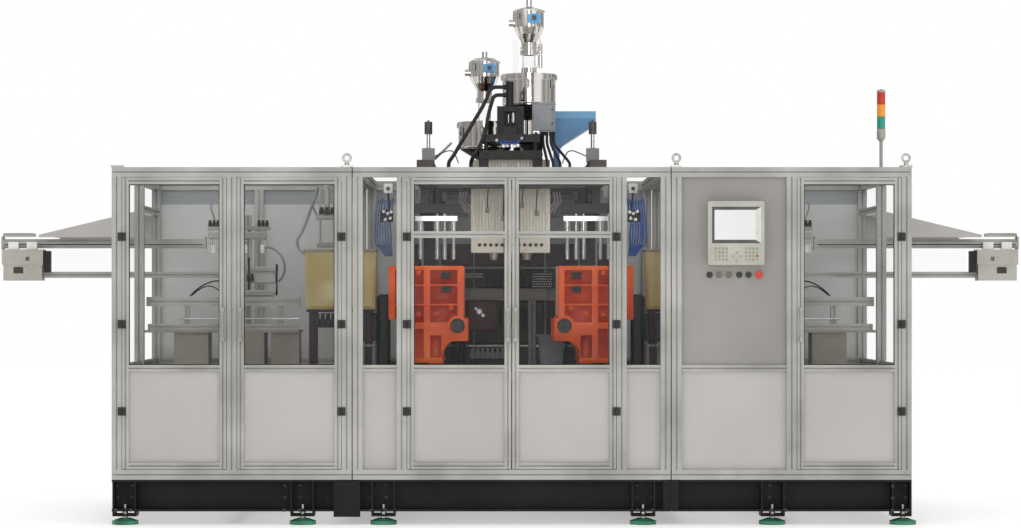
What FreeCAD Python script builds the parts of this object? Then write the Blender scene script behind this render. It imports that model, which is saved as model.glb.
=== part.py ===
import FreeCAD, Part
import math
import os

V = FreeCAD.Vector

# A shuttle blow moulding machine in a guard cabinet. Millimetres, +X right, +Y to the rear, +Z up.
# The origin is on the floor, at the middle of the whole machine.

# Guard cabinet
cabinet_width = 4800.0
cabinet_depth = 2200.0
guard_top = 2146.0
centre_module_width = 1908.0
module_gap = 6.0
post = 60.0                  # heavy slotted profile
stile = 40.0                 # light slotted profile
slot_mouth = 8.4
slot_lip = 3.0
slot_cavity = 15.0
slot_depth = 11.0
pane = 8.0                   # clear and sheet panels that sit in the slots
pane_grip = 8.0
narrow_window = 204.0
mid_rail_z = 938.0
side_post_depth = 1150.0
output_head_z = 1935.0
transom_z = 1741.0
door_gap = 3.0
eye_plate = 12.0
eye_ring = 22.0
eye_wire = 7.0
eye_height = 56.0

# Doors
hinge_heights = [680.0, 1203.0, 1728.0]
hinge_height = 50.0
leaf_width = 25.0
leaf_thickness = 5.0
leaf_setback = 1.0
knuckle_radius = 7.0
knuckle_length = 16.0
pin_radius = 3.0
pin_stand_off = 8.0
running = 0.05
clear = 0.3                  # gap between pieces that slide past each other
handle_low = 1100.0
handle_high = 1302.0
handle_reach = 50.0
handle_radius = 8.0
handle_end = 22.0

# Base
base_bottom = 80.0
base_top = 270.0
channel = 100.0
flange = 14.0
foot_plate = 144.0
foot_plate_depth = 140.0
foot_plate_thickness = 12.0
gusset = 12.0
foot_gap = 18.0              # from the foot plate up to the channel
pad_radius = 80.0
pad_height = 22.0
pad_top_radius = 34.0
pad_cone = 16.0
nut_radius = 18.0
nut_height = 14.0
stud_radius = 10.0
stud_length = 82.0
left_feet = [76.0, 1144.0]     # from the left end of the left module
centre_feet = [184.0, 1744.0]  # from the left end of the centre module
right_feet = [607.0, 1393.0]   # from the left end of the right module
splice_plate = 12.0
bed_cross_x = 750.0

# Operator panel
hmi_left = 1175.0
hmi_right = 1513.0
hmi_bottom = 1558.0
hmi_top = 1941.0
hmi_reach = 40.0
hmi_corner = 14.0
bezel_left = 1199.0
bezel_right = 1494.0
bezel_bottom = 1688.0
bezel_top = 1907.0
screen_left = 1214.0
screen_right = 1460.0
screen_bottom = 1709.0
screen_top = 1888.0
key = 14.0
key_step = 22.0
key_reach = 1.5
pad_left = [1214.0, 1396.0]
pad_bottom = 1583.0
arrow_left = 1318.0
arrow_bottom = 1580.0
side_key = 18.0
side_key_step = 30.0
bezel_recess = 4.0
operator_z = 1500.0
selector_x = 1189.0
pilot_x = [1247.0, 1306.0]
start_x = 1367.0
stop_x = 1423.0
e_stop_x = 1485.0
collar_radius = 18.5
collar_reach = 10.0
panel_hole_radius = 11.2
neck_radius = 11.0
contact_block_radius = 14.5
contact_block_depth = 34.0
cap_radius = 14.0
cap_reach = 12.0
cap_thickness = 6.0
stem_radius = 8.0
stem_length = 30.0
stem_room = 6.0
mushroom_radius = 22.0
mushroom_reach = 34.0
mushroom_thickness = 14.0

# Moulding stations, one on each side; sizes are for the right-hand one
station_x = 465.0            # middle of the three cavities
pitch = 105.0
parting_depth = 1050.0
platen_inner = 292.0
platen_outer = 758.0
platen_top = 1560.0
platen_shoulder = 1228.0
platen_foot = 960.0
leg_outer = 700.0
leg_inner = 418.0
platen_depth = 210.0
platen_skin = 50.0
rib = 40.0
thin_rib = 10.0
pocket_shelf = 27.0
hub_x = 330.0
hub_z = 1190.0
hub_radius = 46.0
boss_radius = 64.0
mould_width = 340.0
mould_height = 310.0
mould_depth = 120.0
mould_opening = 160.0        # each half moves this far
body_radius = 38.0
neck_bore = 20.0
neck_length = 45.0
body_length = 215.0
bed_beam = 160.0
bed_bottom = 640.0
bed_top = 840.0
bed_half_length = 880.0
bed_front = 420.0
bed_rear = 1540.0
rail_width = 34.0
rail_height = 40.0
carriage_bottom = 884.0
carriage_plate = 40.0
carriage_front = 400.0
carriage_rear = 1900.0
slider = 80.0
slider_length = 120.0
cross_rail = 30.0
closing_radius = 55.0
closing_rod = 20.0
closing_z = 1180.0

# Blow pins
blow_plate_bottom = 1850.0
blow_plate = 30.0
blow_body_radius = 22.0
blow_body_length = 70.0
blow_pin_radius = 12.0
blow_pin_bottom = 1606.0
column_x = [418.0, 623.0]
column_radius = 14.0
column_set_back = 50.0
bridge_bottom = 1900.0
bridge_height = 60.0
blow_cylinder_radius = 30.0
blow_cylinder_height = 85.0
blow_rod_radius = 10.0

# Extruder platform, extruders and die head
platform_x = 520.0
platform_beam = 100.0
platform_bottom = 2050.0
platform_top = 2190.0
cross_beam = 50.0
cross_beam_depth = 160.0
cross_depths = [780.0, 1320.0, 1840.0]
head_width = 500.0
head_front = 1000.0
head_rear = 1300.0
head_bottom = 1648.0
die_plate = 92.0
sheet = 3.0
head_block_width = 300.0
nozzle_radius = 30.0
nozzle_length = 44.0
lower_slab_bottom = 2237.0
lower_slab_top = 2289.0
lower_slab_width = 396.0
upper_slab_bottom = 2342.0
upper_slab_top = 2390.0
upper_slab_width = 368.0
slab_front = 860.0
upper_slab_rear = 1160.0
lower_slab_rear = 1400.0
pillar = 60.0
drive_block_width = 170.0
drive_block_top = 2572.0
ram_x = -5.0
ram_radius = 25.0
ram_depth = 910.0
ram_bottom = 2535.0
ram_top = 2724.0
yoke_top = 2440.0
ram_ports = [2640.0, 2690.0]
port_length = 16.0
main_x = 121.0
main_depth = 1300.0
main_barrel_z = 2350.0
side_x = -165.0
side_depth = 1600.0
side_barrel_z = 2165.0
barrel_radius = 55.0
barrel_rear = 1790.0
main_gearbox = 95.0          # half its width
side_gearbox = 62.0
gearbox_length = 150.0
motor_length = 180.0

# Hoppers and loaders: heights go up from the hopper's outlet
wall = 3.0
drum_radius = 170.0
rim_radius = 182.0
rim_height = 32.0
outlet_radius = 28.0
lid = 6.0
main_hopper = {"outlet": 2405.0, "cone": 2502.0, "drum": 2598.0, "top": 2791.0}
side_hopper = {"outlet": 2238.0, "cone": 2250.0, "drum": 2331.0, "top": 2502.0}
main_loader = {"collar": 43.0, "glass": 82.0, "neck": 79.0, "cone": 99.0, "drum": 98.0, "lid": 24.0, "knob": 60.0}
side_loader = {"collar": 10.0, "glass": 118.0, "neck": 72.0, "cone": 96.0, "drum": 90.0, "lid": 32.0, "knob": 43.0}
glass_radius = 44.5
glass_wall = 4.0
loader_radius = 95.0
loader_lid_radius = 103.0
port_reach = 34.0
port_collar = 6.0            # shoulder that a suction hose stops against
port_radius = 22.0
control_width = 85.0
control_height = 58.0
control_depth = 42.0

# Side bays and arms; sizes are for the right-hand one
bench_front = 1150.0
bench_bottom = 1140.0
bench_box_bottom = 800.0
conveyor_depth = 1300.0
conveyor_z = 1338.0
upright_top = 1900.0
arm_depth = 1500.0
arm_inset = 415.0            # the arm's inner end from the guard's side face
arm_reach = 888.0
arm_bottom = 1684.0
arm_plate = 12.0
end_plate_drop = 6.0
end_plate_rise = 16.0
arm_rail = 12.0
drive_reach = 622.0
drive_front = 1410.0
drive_rear = 1560.0
drive_top = 1676.0
drive_middle = 1577.0
drive_bottom = 1474.0
support_z = 1512.0
support_inset = 680.0
hood_reach = 619.0
hood_end_z = 1766.0
hood_bottom = 1750.0

# Top fittings
regrind_left = 275.0
regrind_right = 556.0
regrind_bottom = 2330.0
regrind_top = 2572.0
regrind_front = 1450.0
regrind_rear = 1750.0
regrind_wall = 4.0
feed_tube_top = 3024.0
junction_left = 188.0
junction_right = 282.0
junction_bottom = 2408.0
junction_top = 2594.0
junction_front = 900.0
junction_rear = 980.0
gland_x = [205.0, 229.0, 253.0, 272.0]
jack_x = 520.0
jack_depth = 1000.0
jack_half = 40.0
jack_box_bottom = 2224.0
jack_box_top = 2308.0
jack_cap_bottom = 2398.0
jack_cap = 78.0
tower_depth = 1180.0
lamp_radius = 32.0
lamp_height = 75.0
pole_radius = 11.0
tower_base_bottom = 2373.0
tower_base_top = 2443.0

front_y = -(cabinet_depth + pad_radius - channel / 2 - handle_reach) / 2
half_width = cabinet_width / 2
centre_half = centre_module_width / 2
side_inner = centre_half + module_gap
door_half = centre_half - post - narrow_window - post
middle_post_x = (side_inner + half_width) / 2
rail_low = base_top + post / 2
rail_high = guard_top - post / 2
bay_low = base_top + post
bay_high = guard_top - post
modules = [(-half_width, -side_inner), (-centre_half, centre_half), (side_inner, half_width)]
panel_face = front_y + post / 2 - pane / 2
arm_inner = half_width - arm_inset
arm_outer = half_width + arm_reach
drive_inner = half_width + drive_reach
support_inner = half_width - support_inset
hood_end = half_width + hood_reach


def at(depth):
    return front_y + depth


def block(x0, x1, y0, y1, z0, z1):
    return Part.makeBox(x1 - x0, y1 - y0, z1 - z0, V(x0, y0, z0))


def rod(x, y, z, radius, length, along=V(0, 0, 1)):
    return Part.makeCylinder(radius, length, V(x, y, z), along)


def mirrored(shape):
    return shape.mirror(V(0, 0, 0), V(1, 0, 0))


def both(shapes):
    return shapes + [mirrored(shape) for shape in shapes]


def joined(shapes):
    whole = shapes[0]
    for shape in shapes[1:]:
        whole = whole.fuse(shape)
    return whole.removeSplitter()


def prism(corners, y0, y1):
    loop = [V(x, y0, z) for x, z in corners]
    return Part.Face(Part.makePolygon(loop + loop[:1])).extrude(V(0, y1 - y0, 0))


def turned(x, y, outline):
    loop = [V(x + r, y, z) for r, z in outline]
    return Part.Face(Part.makePolygon(loop + loop[:1])).revolve(V(x, y, 0), V(0, 0, 1), 360)


def hexagon(x, y, z, radius, height):
    loop = [V(x + radius * math.cos(math.radians(a)), y + radius * math.sin(math.radians(a)), z)
            for a in range(0, 360, 60)]
    return Part.Face(Part.makePolygon(loop + loop[:1])).extrude(V(0, 0, height))


def slot_outline(size):
    edge = size / 2
    mouth = slot_mouth / 2
    cavity = slot_cavity / 2
    side = [(-edge, -edge), (-mouth, -edge), (-mouth, slot_lip - edge), (-cavity, slot_lip - edge),
            (-cavity, slot_depth - edge), (cavity, slot_depth - edge), (cavity, slot_lip - edge),
            (mouth, slot_lip - edge), (mouth, -edge)]
    points = []
    for turn in [(1, 0), (0, 1), (-1, 0), (0, -1)]:
        points += [(u * turn[0] - v * turn[1], u * turn[1] + v * turn[0]) for u, v in side]
    return points


def profile(size, start, end):
    run = V(*end) - V(*start)
    along = [abs(step) > 0 for step in run].index(True)
    loop = []
    for u, v in slot_outline(size):
        place = [u, v]
        place.insert(along, 0)
        loop.append(V(*start) + V(*place))
    return Part.Face(Part.makePolygon(loop + loop[:1])).extrude(run)


def front_pane(x0, x1, z0, z1, y):
    wide = block(x0 - pane_grip, x1 + pane_grip, y - pane / 2, y + pane / 2, z0, z1)
    tall = block(x0, x1, y - pane / 2, y + pane / 2, z0 - pane_grip, z1 + pane_grip)
    return joined([wide, tall])


def side_pane(x, y0, y1, z0, z1):
    wide = block(x - pane / 2, x + pane / 2, y0 - pane_grip, y1 + pane_grip, z0, z1)
    tall = block(x - pane / 2, x + pane / 2, y0, y1, z0 - pane_grip, z1 + pane_grip)
    return joined([wide, tall])


def channel_along_x(x0, x1, y_back, outward):
    web = y_back + outward * flange
    lip = y_back + outward * channel
    corners = [(y_back, base_bottom), (lip, base_bottom), (lip, base_bottom + flange),
               (web, base_bottom + flange), (web, base_top - flange), (lip, base_top - flange),
               (lip, base_top), (y_back, base_top)]
    loop = [V(x0, y, z) for y, z in corners]
    return Part.Face(Part.makePolygon(loop + loop[:1])).extrude(V(x1 - x0, 0, 0))


def channel_along_y(x_back, outward, y0, y1):
    web = x_back + outward * flange
    lip = x_back + outward * channel
    corners = [(x_back, base_bottom), (lip, base_bottom), (lip, base_bottom + flange),
               (web, base_bottom + flange), (web, base_top - flange), (lip, base_top - flange),
               (lip, base_top), (x_back, base_top)]
    return prism(corners, y0, y1)


def hose(points, radius):
    corners = [V(*p) for p in points]
    edges = []
    start = corners[0]
    bends = []
    for before, corner, after in zip(corners, corners[1:], corners[2:]):
        back = (before - corner).normalize()
        ahead = (after - corner).normalize()
        half_turn = (math.pi - back.getAngle(ahead)) / 2
        cut = 0.45 * min((before - corner).Length, (after - corner).Length)
        bend = cut / math.tan(half_turn)
        bends.append(round(bend))
        middle = corner + (back + ahead).normalize() * (bend / math.cos(half_turn) - bend)
        edges.append(Part.LineSegment(start, corner + back * cut).toShape())
        edges.append(Part.Arc(corner + back * cut, middle, corner + ahead * cut).toShape())
        start = corner + ahead * cut
    edges.append(Part.LineSegment(start, corners[-1]).toShape())
    path = Part.Wire(edges)
    ring = Part.Wire(Part.makeCircle(radius, corners[0], corners[1] - corners[0]))
    print("hose bends", bends, "length", round(path.Length))
    return path.makePipeShell([ring], True, True)


nodes = {}


# ---- base ----
def base_module(x0, x1, crosses, feet):
    y0 = at(0)
    y1 = at(cabinet_depth)
    shapes = [channel_along_x(x0, x1, y0 + channel, -1), channel_along_x(x0, x1, y1 - channel, 1)]
    shapes.append(channel_along_y(x0 + channel, -1, y0 + channel, y1 - channel))
    shapes.append(channel_along_y(x1 - channel, 1, y0 + channel, y1 - channel))
    for x in crosses:
        shapes.append(channel_along_y(x - channel / 2, 1, y0 + channel, y1 - channel))
    for x in feet:
        for y, inward in [(y0, 1), (y1, -1)]:
            low, high = sorted([y, y + inward * foot_plate_depth])
            left = max(x - foot_plate / 2, x0)
            right = min(x + foot_plate / 2, x1)
            bottom = base_bottom - foot_gap - foot_plate_thickness
            shapes.append(block(left, right, low, high, bottom, bottom + foot_plate_thickness))
            for cheek in [left, right - gusset]:
                shapes.append(block(cheek, cheek + gusset, low, high, bottom + foot_plate_thickness, base_bottom))
                web_low, web_high = sorted([y, y + inward * (channel - flange)])
                shapes.append(block(cheek, cheek + gusset, web_low, web_high, base_bottom + flange, base_top - flange))
    frame = joined(shapes)
    for x in feet:
        for y in foot_rows:
            frame = frame.cut(rod(x, y, 0, stud_radius + clear, base_bottom + flange + 1))
    return frame


def splice(x0, x1, z0, z1, bolt_x):
    front = block(x0, x1, at(0) - splice_plate, at(0), z0, z1)
    rear = block(x0, x1, at(cabinet_depth), at(cabinet_depth) + splice_plate, z0, z1)
    steps = [z0 + (z1 - z0) * share for share in (0.3, 0.58, 0.86)]
    for z in steps:
        front = front.fuse(rod(bolt_x, at(0) - splice_plate, z, 11, 9, V(0, -1, 0)))
        rear = rear.fuse(rod(bolt_x, at(cabinet_depth) + splice_plate, z, 11, 9, V(0, 1, 0)))
    return [front, rear]


foot_rows = [at(channel / 2), at(cabinet_depth - channel / 2)]
feet_by_module = [[start + step for step in steps] for (start, end), steps
                  in zip(modules, [left_feet, centre_feet, right_feet])]
crosses_by_module = [[-middle_post_x], [-bed_cross_x, bed_cross_x], [middle_post_x]]
base_frames = [base_module(x0, x1, crosses, feet) for (x0, x1), crosses, feet
               in zip(modules, crosses_by_module, feet_by_module)]
joint_left = -(centre_half + side_inner) / 2
joint_right = -joint_left
foot_plate_z = base_bottom - foot_gap - foot_plate_thickness
base_frames += splice(joint_left - 111, joint_left + 49, foot_plate_z - 2, base_top - 8, joint_left + 33)
base_frames += splice(joint_right - 49, joint_right + 43, base_bottom + 4, base_top - 4, joint_right - 4)
nodes["base_frames"] = base_frames

feet = []
for x in sum(feet_by_module, []):
    for y in foot_rows:
        feet.append(rod(x, y, 0, pad_radius, pad_height).fuse(
            Part.makeCone(pad_radius, pad_top_radius, pad_cone, V(x, y, pad_height))).removeSplitter())
        stud_z = pad_height + pad_cone
        stud = rod(x, y, stud_z, stud_radius, stud_length)
        stud = stud.fuse(hexagon(x, y, stud_z, nut_radius, foot_plate_z - stud_z))
        stud = stud.fuse(hexagon(x, y, foot_plate_z + foot_plate_thickness, nut_radius, nut_height))
        feet.append(stud.removeSplitter())
nodes["levelling_feet"] = feet

# ---- guard frame ----
front_mid = at(post / 2)
rear_mid = at(cabinet_depth - post / 2)
post_columns = [centre_half - post / 2, door_half + post / 2, side_inner + post / 2, middle_post_x,
                half_width - post / 2]
posts = []
for x in post_columns:
    for side in (-1, 1):
        for y in (front_mid, rear_mid):
            posts.append(profile(post, (side * x, y, bay_low), (side * x, y, bay_high)))
side_post_y = at(side_post_depth + post / 2)
for side in (-1, 1):
    x = side * (half_width - post / 2)
    posts.append(profile(post, (x, side_post_y, bay_low), (x, side_post_y, bay_high)))
nodes["frame_posts"] = posts

rails = []
for x0, x1 in modules:
    for z in (rail_low, rail_high):
        for y in (front_mid, rear_mid):
            rails.append(profile(post, (x0, y, z), (x1, y, z)))
        for x in (x0 + post / 2, x1 - post / 2):
            rails.append(profile(post, (x, at(post), z), (x, at(cabinet_depth - post), z)))
front_bays = {"narrow": (door_half + post, centre_half - post), "panel": (side_inner + post, middle_post_x - post / 2),
              "outer": (middle_post_x + post / 2, half_width - post)}


def mirror_bay(bay):
    return (-bay[1], -bay[0])


fixed_front = [front_bays["narrow"], mirror_bay(front_bays["narrow"]), front_bays["panel"]]
rear_bays = [(-door_half, door_half)]
for name in front_bays:
    rear_bays += [front_bays[name], mirror_bay(front_bays[name])]
for bays, y in ((fixed_front, front_mid), (rear_bays, rear_mid)):
    for x0, x1 in bays:
        rails.append(profile(stile, (x0, y, mid_rail_z), (x1, y, mid_rail_z)))
side_bays = [(at(post), at(side_post_depth)), (at(side_post_depth + post), at(cabinet_depth - post))]
for side in (-1, 1):
    x = side * (half_width - post / 2)
    for y0, y1 in side_bays:
        rails.append(profile(stile, (x, y0, mid_rail_z), (x, y1, mid_rail_z)))
    y0, y1 = side_bays[1]
    rails.append(profile(stile, (x, y0, output_head_z), (x, y1, output_head_z)))
nodes["frame_rails"] = rails

window_low = mid_rail_z + stile / 2
panel_high = mid_rail_z - stile / 2
windows = [front_pane(x0, x1, window_low, bay_high, front_mid) for x0, x1 in fixed_front[:2]]
windows += [front_pane(x0, x1, window_low, bay_high, rear_mid) for x0, x1 in rear_bays]
panels = [front_pane(x0, x1, bay_low, panel_high, front_mid) for x0, x1 in fixed_front]
panels += [front_pane(x0, x1, bay_low, panel_high, rear_mid) for x0, x1 in rear_bays]
for side in (-1, 1):
    x = side * (half_width - post / 2)
    windows.append(side_pane(x, *side_bays[0], window_low, bay_high))
    windows.append(side_pane(x, *side_bays[1], output_head_z + stile / 2, bay_high))
    for y0, y1 in side_bays:
        panels.append(side_pane(x, y0, y1, bay_low, panel_high))
    support_top = support_z + stile / 2
    x0, x1 = sorted([side * half_width, side * (drive_inner - 60)])
    windows.append(block(x0, x1, at(arm_depth) - pane / 2, at(arm_depth) + pane / 2, support_top, arm_bottom - end_plate_drop - 4))
nodes["fixed_windows"] = windows

hood_y0 = side_bays[1][0]
hood_y1 = side_bays[1][1]
hood_line = [(half_width, output_head_z - stile / 2), (hood_end, hood_end_z)]
skin = [(x, z - sheet) for x, z in reversed(hood_line)]
hood_top = prism(hood_line + skin, hood_y0, hood_y1)
cheek_line = skin[::-1] + [(hood_end, hood_bottom), (half_width, hood_bottom)]
hood_front = prism(cheek_line, hood_y0, hood_y0 + sheet)
hood_rear = prism(cheek_line, hood_y1 - sheet, hood_y1)
nodes["fixed_panels"] = panels + both([joined([hood_top, hood_front, hood_rear])])


def corner_plate(x, y):
    return block(x - 36, x + 36, y - 25, y + 25, guard_top, guard_top + eye_plate)


eyes = []
corner_x = half_width - post / 2
eye_columns = [-(side_inner + post / 2), side_inner + post / 2, corner_x]
eye_places = [(-corner_x, rear_mid)] + [(x, y) for x in eye_columns for y in (front_mid, rear_mid)]
for x, y in eye_places:
    neck = rod(x, y, guard_top + eye_plate, 2 * eye_wire, 14)
    eye = Part.makeTorus(eye_ring, eye_wire, V(x, y, guard_top + eye_height), V(0, 1, 0))
    link = rod(x, y, guard_top + eye_plate + 12, eye_wire, 8)
    eyes.append(joined([corner_plate(x, y), neck, link, eye]))
eyes.append(corner_plate(-corner_x, front_mid))
nodes["eye_bolts"] = eyes


# ---- doors ----
def leaf_plate(pin_x, side, z):
    inner = pin_x + side * leaf_setback
    outer = pin_x + side * leaf_width
    x0, x1 = sorted([inner, outer])
    return block(x0, x1, front_y - leaf_thickness, front_y, z - hinge_height / 2, z + hinge_height / 2)


def door_leaf(pin_x, side, z):
    pin_y = front_y - pin_stand_off
    low = z - knuckle_length / 2
    plate = leaf_plate(pin_x, side, z)
    room = knuckle_radius + clear
    plate = plate.cut(rod(pin_x, pin_y, z - hinge_height / 2, room, hinge_height / 2 - knuckle_length / 2))
    plate = plate.cut(rod(pin_x, pin_y, low + knuckle_length, room, hinge_height / 2))
    leaf = plate.fuse(rod(pin_x, pin_y, low, knuckle_radius, knuckle_length))
    return leaf.cut(rod(pin_x, pin_y, low - 1, pin_radius + running, knuckle_length + 2))


def post_leaf(pin_x, side, z):
    pin_y = front_y - pin_stand_off
    bottom = z - hinge_height / 2
    middle = knuckle_length + 2 * clear
    plate = leaf_plate(pin_x, side, z)
    plate = plate.cut(rod(pin_x, pin_y, z - middle / 2, knuckle_radius + clear, middle))
    end = (hinge_height - middle) / 2
    for low in (bottom, z + middle / 2):
        plate = plate.fuse(rod(pin_x, pin_y, low, knuckle_radius, end))
    return plate.fuse(rod(pin_x, pin_y, bottom, pin_radius, hinge_height))


def door(name, bay, hinge_left, transom):
    x0 = bay[0] + door_gap
    x1 = bay[1] - door_gap
    z0 = bay_low + door_gap
    z1 = bay_high - door_gap
    y = at(stile / 2)
    frame = [profile(stile, (x, y, z0), (x, y, z1)) for x in (x0 + stile / 2, x1 - stile / 2)]
    inner = (x0 + stile, x1 - stile)
    rail_heights = [z0 + stile / 2, mid_rail_z, z1 - stile / 2]
    if transom:
        rail_heights.insert(2, transom_z)
    for z in rail_heights:
        frame.append(profile(stile, (inner[0], y, z), (inner[1], y, z)))
    bays = [(low + stile / 2, high - stile / 2) for low, high in zip(rail_heights, rail_heights[1:])]
    frame.append(front_pane(*inner, *bays[0], y))
    nodes[name + "_frame"] = frame
    nodes[name + "_window"] = [front_pane(*inner, low, high, y) for low, high in bays[1:]]
    side = 1 if hinge_left else -1
    pin_x = (bay[0] if hinge_left else bay[1]) + side * door_gap / 2
    free_x = x1 - stile / 2 if hinge_left else x0 + stile / 2
    leaves = [door_leaf(pin_x, side, z) for z in hinge_heights]
    low = handle_low + handle_end
    high = handle_high - handle_end
    bar_y = front_y - handle_reach + handle_end / 2
    grip = [rod(free_x, bar_y, low, handle_radius, high - low)]
    for z in (handle_low, high):
        end = block(free_x - handle_end / 2, free_x + handle_end / 2, front_y - handle_reach, front_y, z,
                    z + handle_end)
        grip.append(end.makeFillet(4, [e for e in end.Edges if abs(e.Vertexes[0].Y - e.Vertexes[1].Y) > 1]))
    nodes[name + "_hardware"] = leaves + [joined(grip)]
    return [post_leaf(pin_x, -side, z) for z in hinge_heights]


outer_bay = front_bays["outer"]
inner_left_bay = mirror_bay(front_bays["panel"])
hinges = door("left_outer_door", mirror_bay(outer_bay), True, False)
hinges += door("left_inner_door", inner_left_bay, False, False)
hinges += door("centre_left_door", (-door_half, 0), True, True)
hinges += door("centre_right_door", (0, door_half), False, True)
hinges += door("right_door", outer_bay, False, False)
nodes["post_hinges"] = hinges

# ---- operator panel ----
x0, x1 = front_bays["panel"]
panel = front_pane(x0, x1, window_low, bay_high, front_mid)
panel = panel.cut(block(bezel_left, bezel_right, panel_face - 1, panel_face + pane + 1, bezel_bottom, bezel_top))
operators = [selector_x, start_x, stop_x, e_stop_x]
for x in operators + pilot_x:
    panel = panel.cut(rod(x, panel_face - 1, operator_z, panel_hole_radius, pane + 2, V(0, 1, 0)))

housing = block(hmi_left, hmi_right, front_y - hmi_reach, panel_face, hmi_bottom, hmi_top)
upright = [e for e in housing.Edges if abs(e.Vertexes[0].Y - e.Vertexes[1].Y) > 1]
housing = housing.makeFillet(hmi_corner, upright)
housing = housing.cut(block(bezel_left, bezel_right, front_y - hmi_reach, front_y - hmi_reach + bezel_recess,
                            bezel_bottom, bezel_top))
housing = housing.fuse(block(bezel_left + clear, bezel_right - clear, panel_face, panel_face + pane + 40,
                             bezel_bottom + clear, bezel_top - clear))
nodes["hmi_housing"] = [housing.removeSplitter()]

face_y = front_y - hmi_reach
bezel = block(bezel_left + clear, bezel_right - clear, face_y, face_y + bezel_recess, bezel_bottom + clear,
              bezel_top - clear)
bezel = bezel.cut(block(screen_left, screen_right, face_y - 1, face_y + 1.5, screen_bottom, screen_top))
key_group = []
for left in pad_left:
    for column in range(4):
        for row in range(4):
            x = left + column * key_step
            z = pad_bottom + row * key_step
            key_group.append(block(x, x + key, face_y - key_reach, face_y, z, z + key))
for column, row in ((0, 1), (1, 0), (1, 2), (2, 1)):
    x = arrow_left + column * key_step
    z = arrow_bottom + row * key_step
    key_group.append(block(x, x + key, face_y - key_reach, face_y, z, z + key))
for row in range(6):
    x = screen_right + side_key / 2
    z = screen_bottom + 4 + row * side_key_step
    key_group.append(block(x, x + side_key, face_y - key_reach, face_y, z, z + side_key))
glass = block(screen_left + clear, screen_right - clear, face_y - 0.5, face_y + 1.5, screen_bottom + clear,
              screen_top - clear)
nodes["hmi_front"] = [bezel, glass] + key_group


def collar(x, with_bore):
    body = rod(x, panel_face - collar_reach, operator_z, collar_radius, collar_reach, V(0, 1, 0))
    body = body.fuse(rod(x, panel_face, operator_z, neck_radius, pane, V(0, 1, 0)))
    body = body.fuse(rod(x, panel_face + pane, operator_z, contact_block_radius, contact_block_depth, V(0, 1, 0)))
    if with_bore:
        body = body.cut(rod(x, panel_face - collar_reach, operator_z, cap_radius + clear, collar_reach - 1,
                            V(0, 1, 0)))
        depth = stem_length + stem_room
        body = body.cut(rod(x, panel_face - cap_thickness, operator_z, stem_radius + clear, depth, V(0, 1, 0)))
    else:
        lens = rod(x, panel_face - cap_reach - 3, operator_z, cap_radius, cap_reach + 3 - collar_reach, V(0, 1, 0))
        body = body.fuse(lens)
    return body.removeSplitter()


def push_cap(x):
    cap = rod(x, panel_face - cap_reach, operator_z, cap_radius, cap_thickness, V(0, 1, 0))
    stem = rod(x, panel_face - cap_reach + cap_thickness, operator_z, stem_radius, stem_length, V(0, 1, 0))
    return cap.fuse(stem).removeSplitter()


nodes["control_panel"] = [panel] + [collar(x, True) for x in operators] + [collar(x, False) for x in pilot_x]
nodes["start_button"] = [push_cap(start_x)]
nodes["stop_button"] = [push_cap(stop_x)]
bar = block(selector_x - 4, selector_x + 4, panel_face - cap_reach - 10, panel_face - cap_reach,
            operator_z - cap_radius + 1, operator_z + cap_radius - 1)
nodes["selector_switch"] = [joined([push_cap(selector_x), bar])]
mushroom = rod(e_stop_x, panel_face - mushroom_reach, operator_z, mushroom_radius, mushroom_thickness, V(0, 1, 0))
mushroom = mushroom.makeFillet(5, [e for e in mushroom.Edges if len(e.Vertexes) == 1
                                   and e.Vertexes[0].Y < panel_face - mushroom_reach + 1])
mushroom_back = panel_face - mushroom_reach + mushroom_thickness
mushroom_stem = rod(e_stop_x, mushroom_back, operator_z, stem_radius,
                    mushroom_reach - mushroom_thickness - cap_thickness + stem_length, V(0, 1, 0))
nodes["e_stop_button"] = [joined([mushroom, mushroom_stem])]

# ---- machine frame ----
station_left = platform_x - platform_beam / 2
station_right = platform_x + platform_beam / 2
frame = []
for depth in (bed_front, bed_rear):
    frame.append(block(-bed_half_length, bed_half_length, at(depth), at(depth + bed_beam), bed_bottom, bed_top))
    for side in (-1, 1):
        frame.append(block(side * bed_cross_x - channel / 2, side * bed_cross_x + channel / 2, at(depth),
                           at(depth + bed_beam), base_top, bed_bottom))
for side in (-1, 1):
    frame.append(block(side * bed_cross_x - channel / 2, side * bed_cross_x + channel / 2, at(bed_front + bed_beam),
                       at(bed_rear), bed_bottom, bed_bottom + channel))
    inner, outer = sorted([side * station_left, side * station_right])
    lug = [(at(0), guard_top), (at(0), platform_top), (at(cabinet_depth), platform_top),
           (at(cabinet_depth), guard_top), (at(cabinet_depth - post) - 1, guard_top),
           (at(cabinet_depth - post) - 1, platform_bottom), (at(post) + 1, platform_bottom), (at(post) + 1, guard_top)]
    loop = [V(inner, y, z) for y, z in lug]
    frame.append(Part.Face(Part.makePolygon(loop + loop[:1])).extrude(V(platform_beam, 0, 0)))
    column_depth = bed_rear + bed_beam + 260
    frame.append(block(inner, outer, at(column_depth), at(column_depth + channel), mid_rail_z, platform_bottom))
    foot_inner, foot_outer = sorted([side * station_left, side * (bed_cross_x + channel / 2)])
    frame.append(block(foot_inner, foot_outer, at(column_depth), at(column_depth + channel), mid_rail_z - channel,
                       mid_rail_z))
    x0, x1 = sorted([side * (bed_cross_x - channel / 2), side * (bed_cross_x + channel / 2)])
    frame.append(block(x0, x1, at(column_depth), at(column_depth + channel), base_top, mid_rail_z - channel))
for depth in cross_depths:
    frame.append(block(-station_left, station_left, at(depth), at(depth + cross_beam_depth), platform_bottom,
                       platform_bottom + cross_beam))

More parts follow.
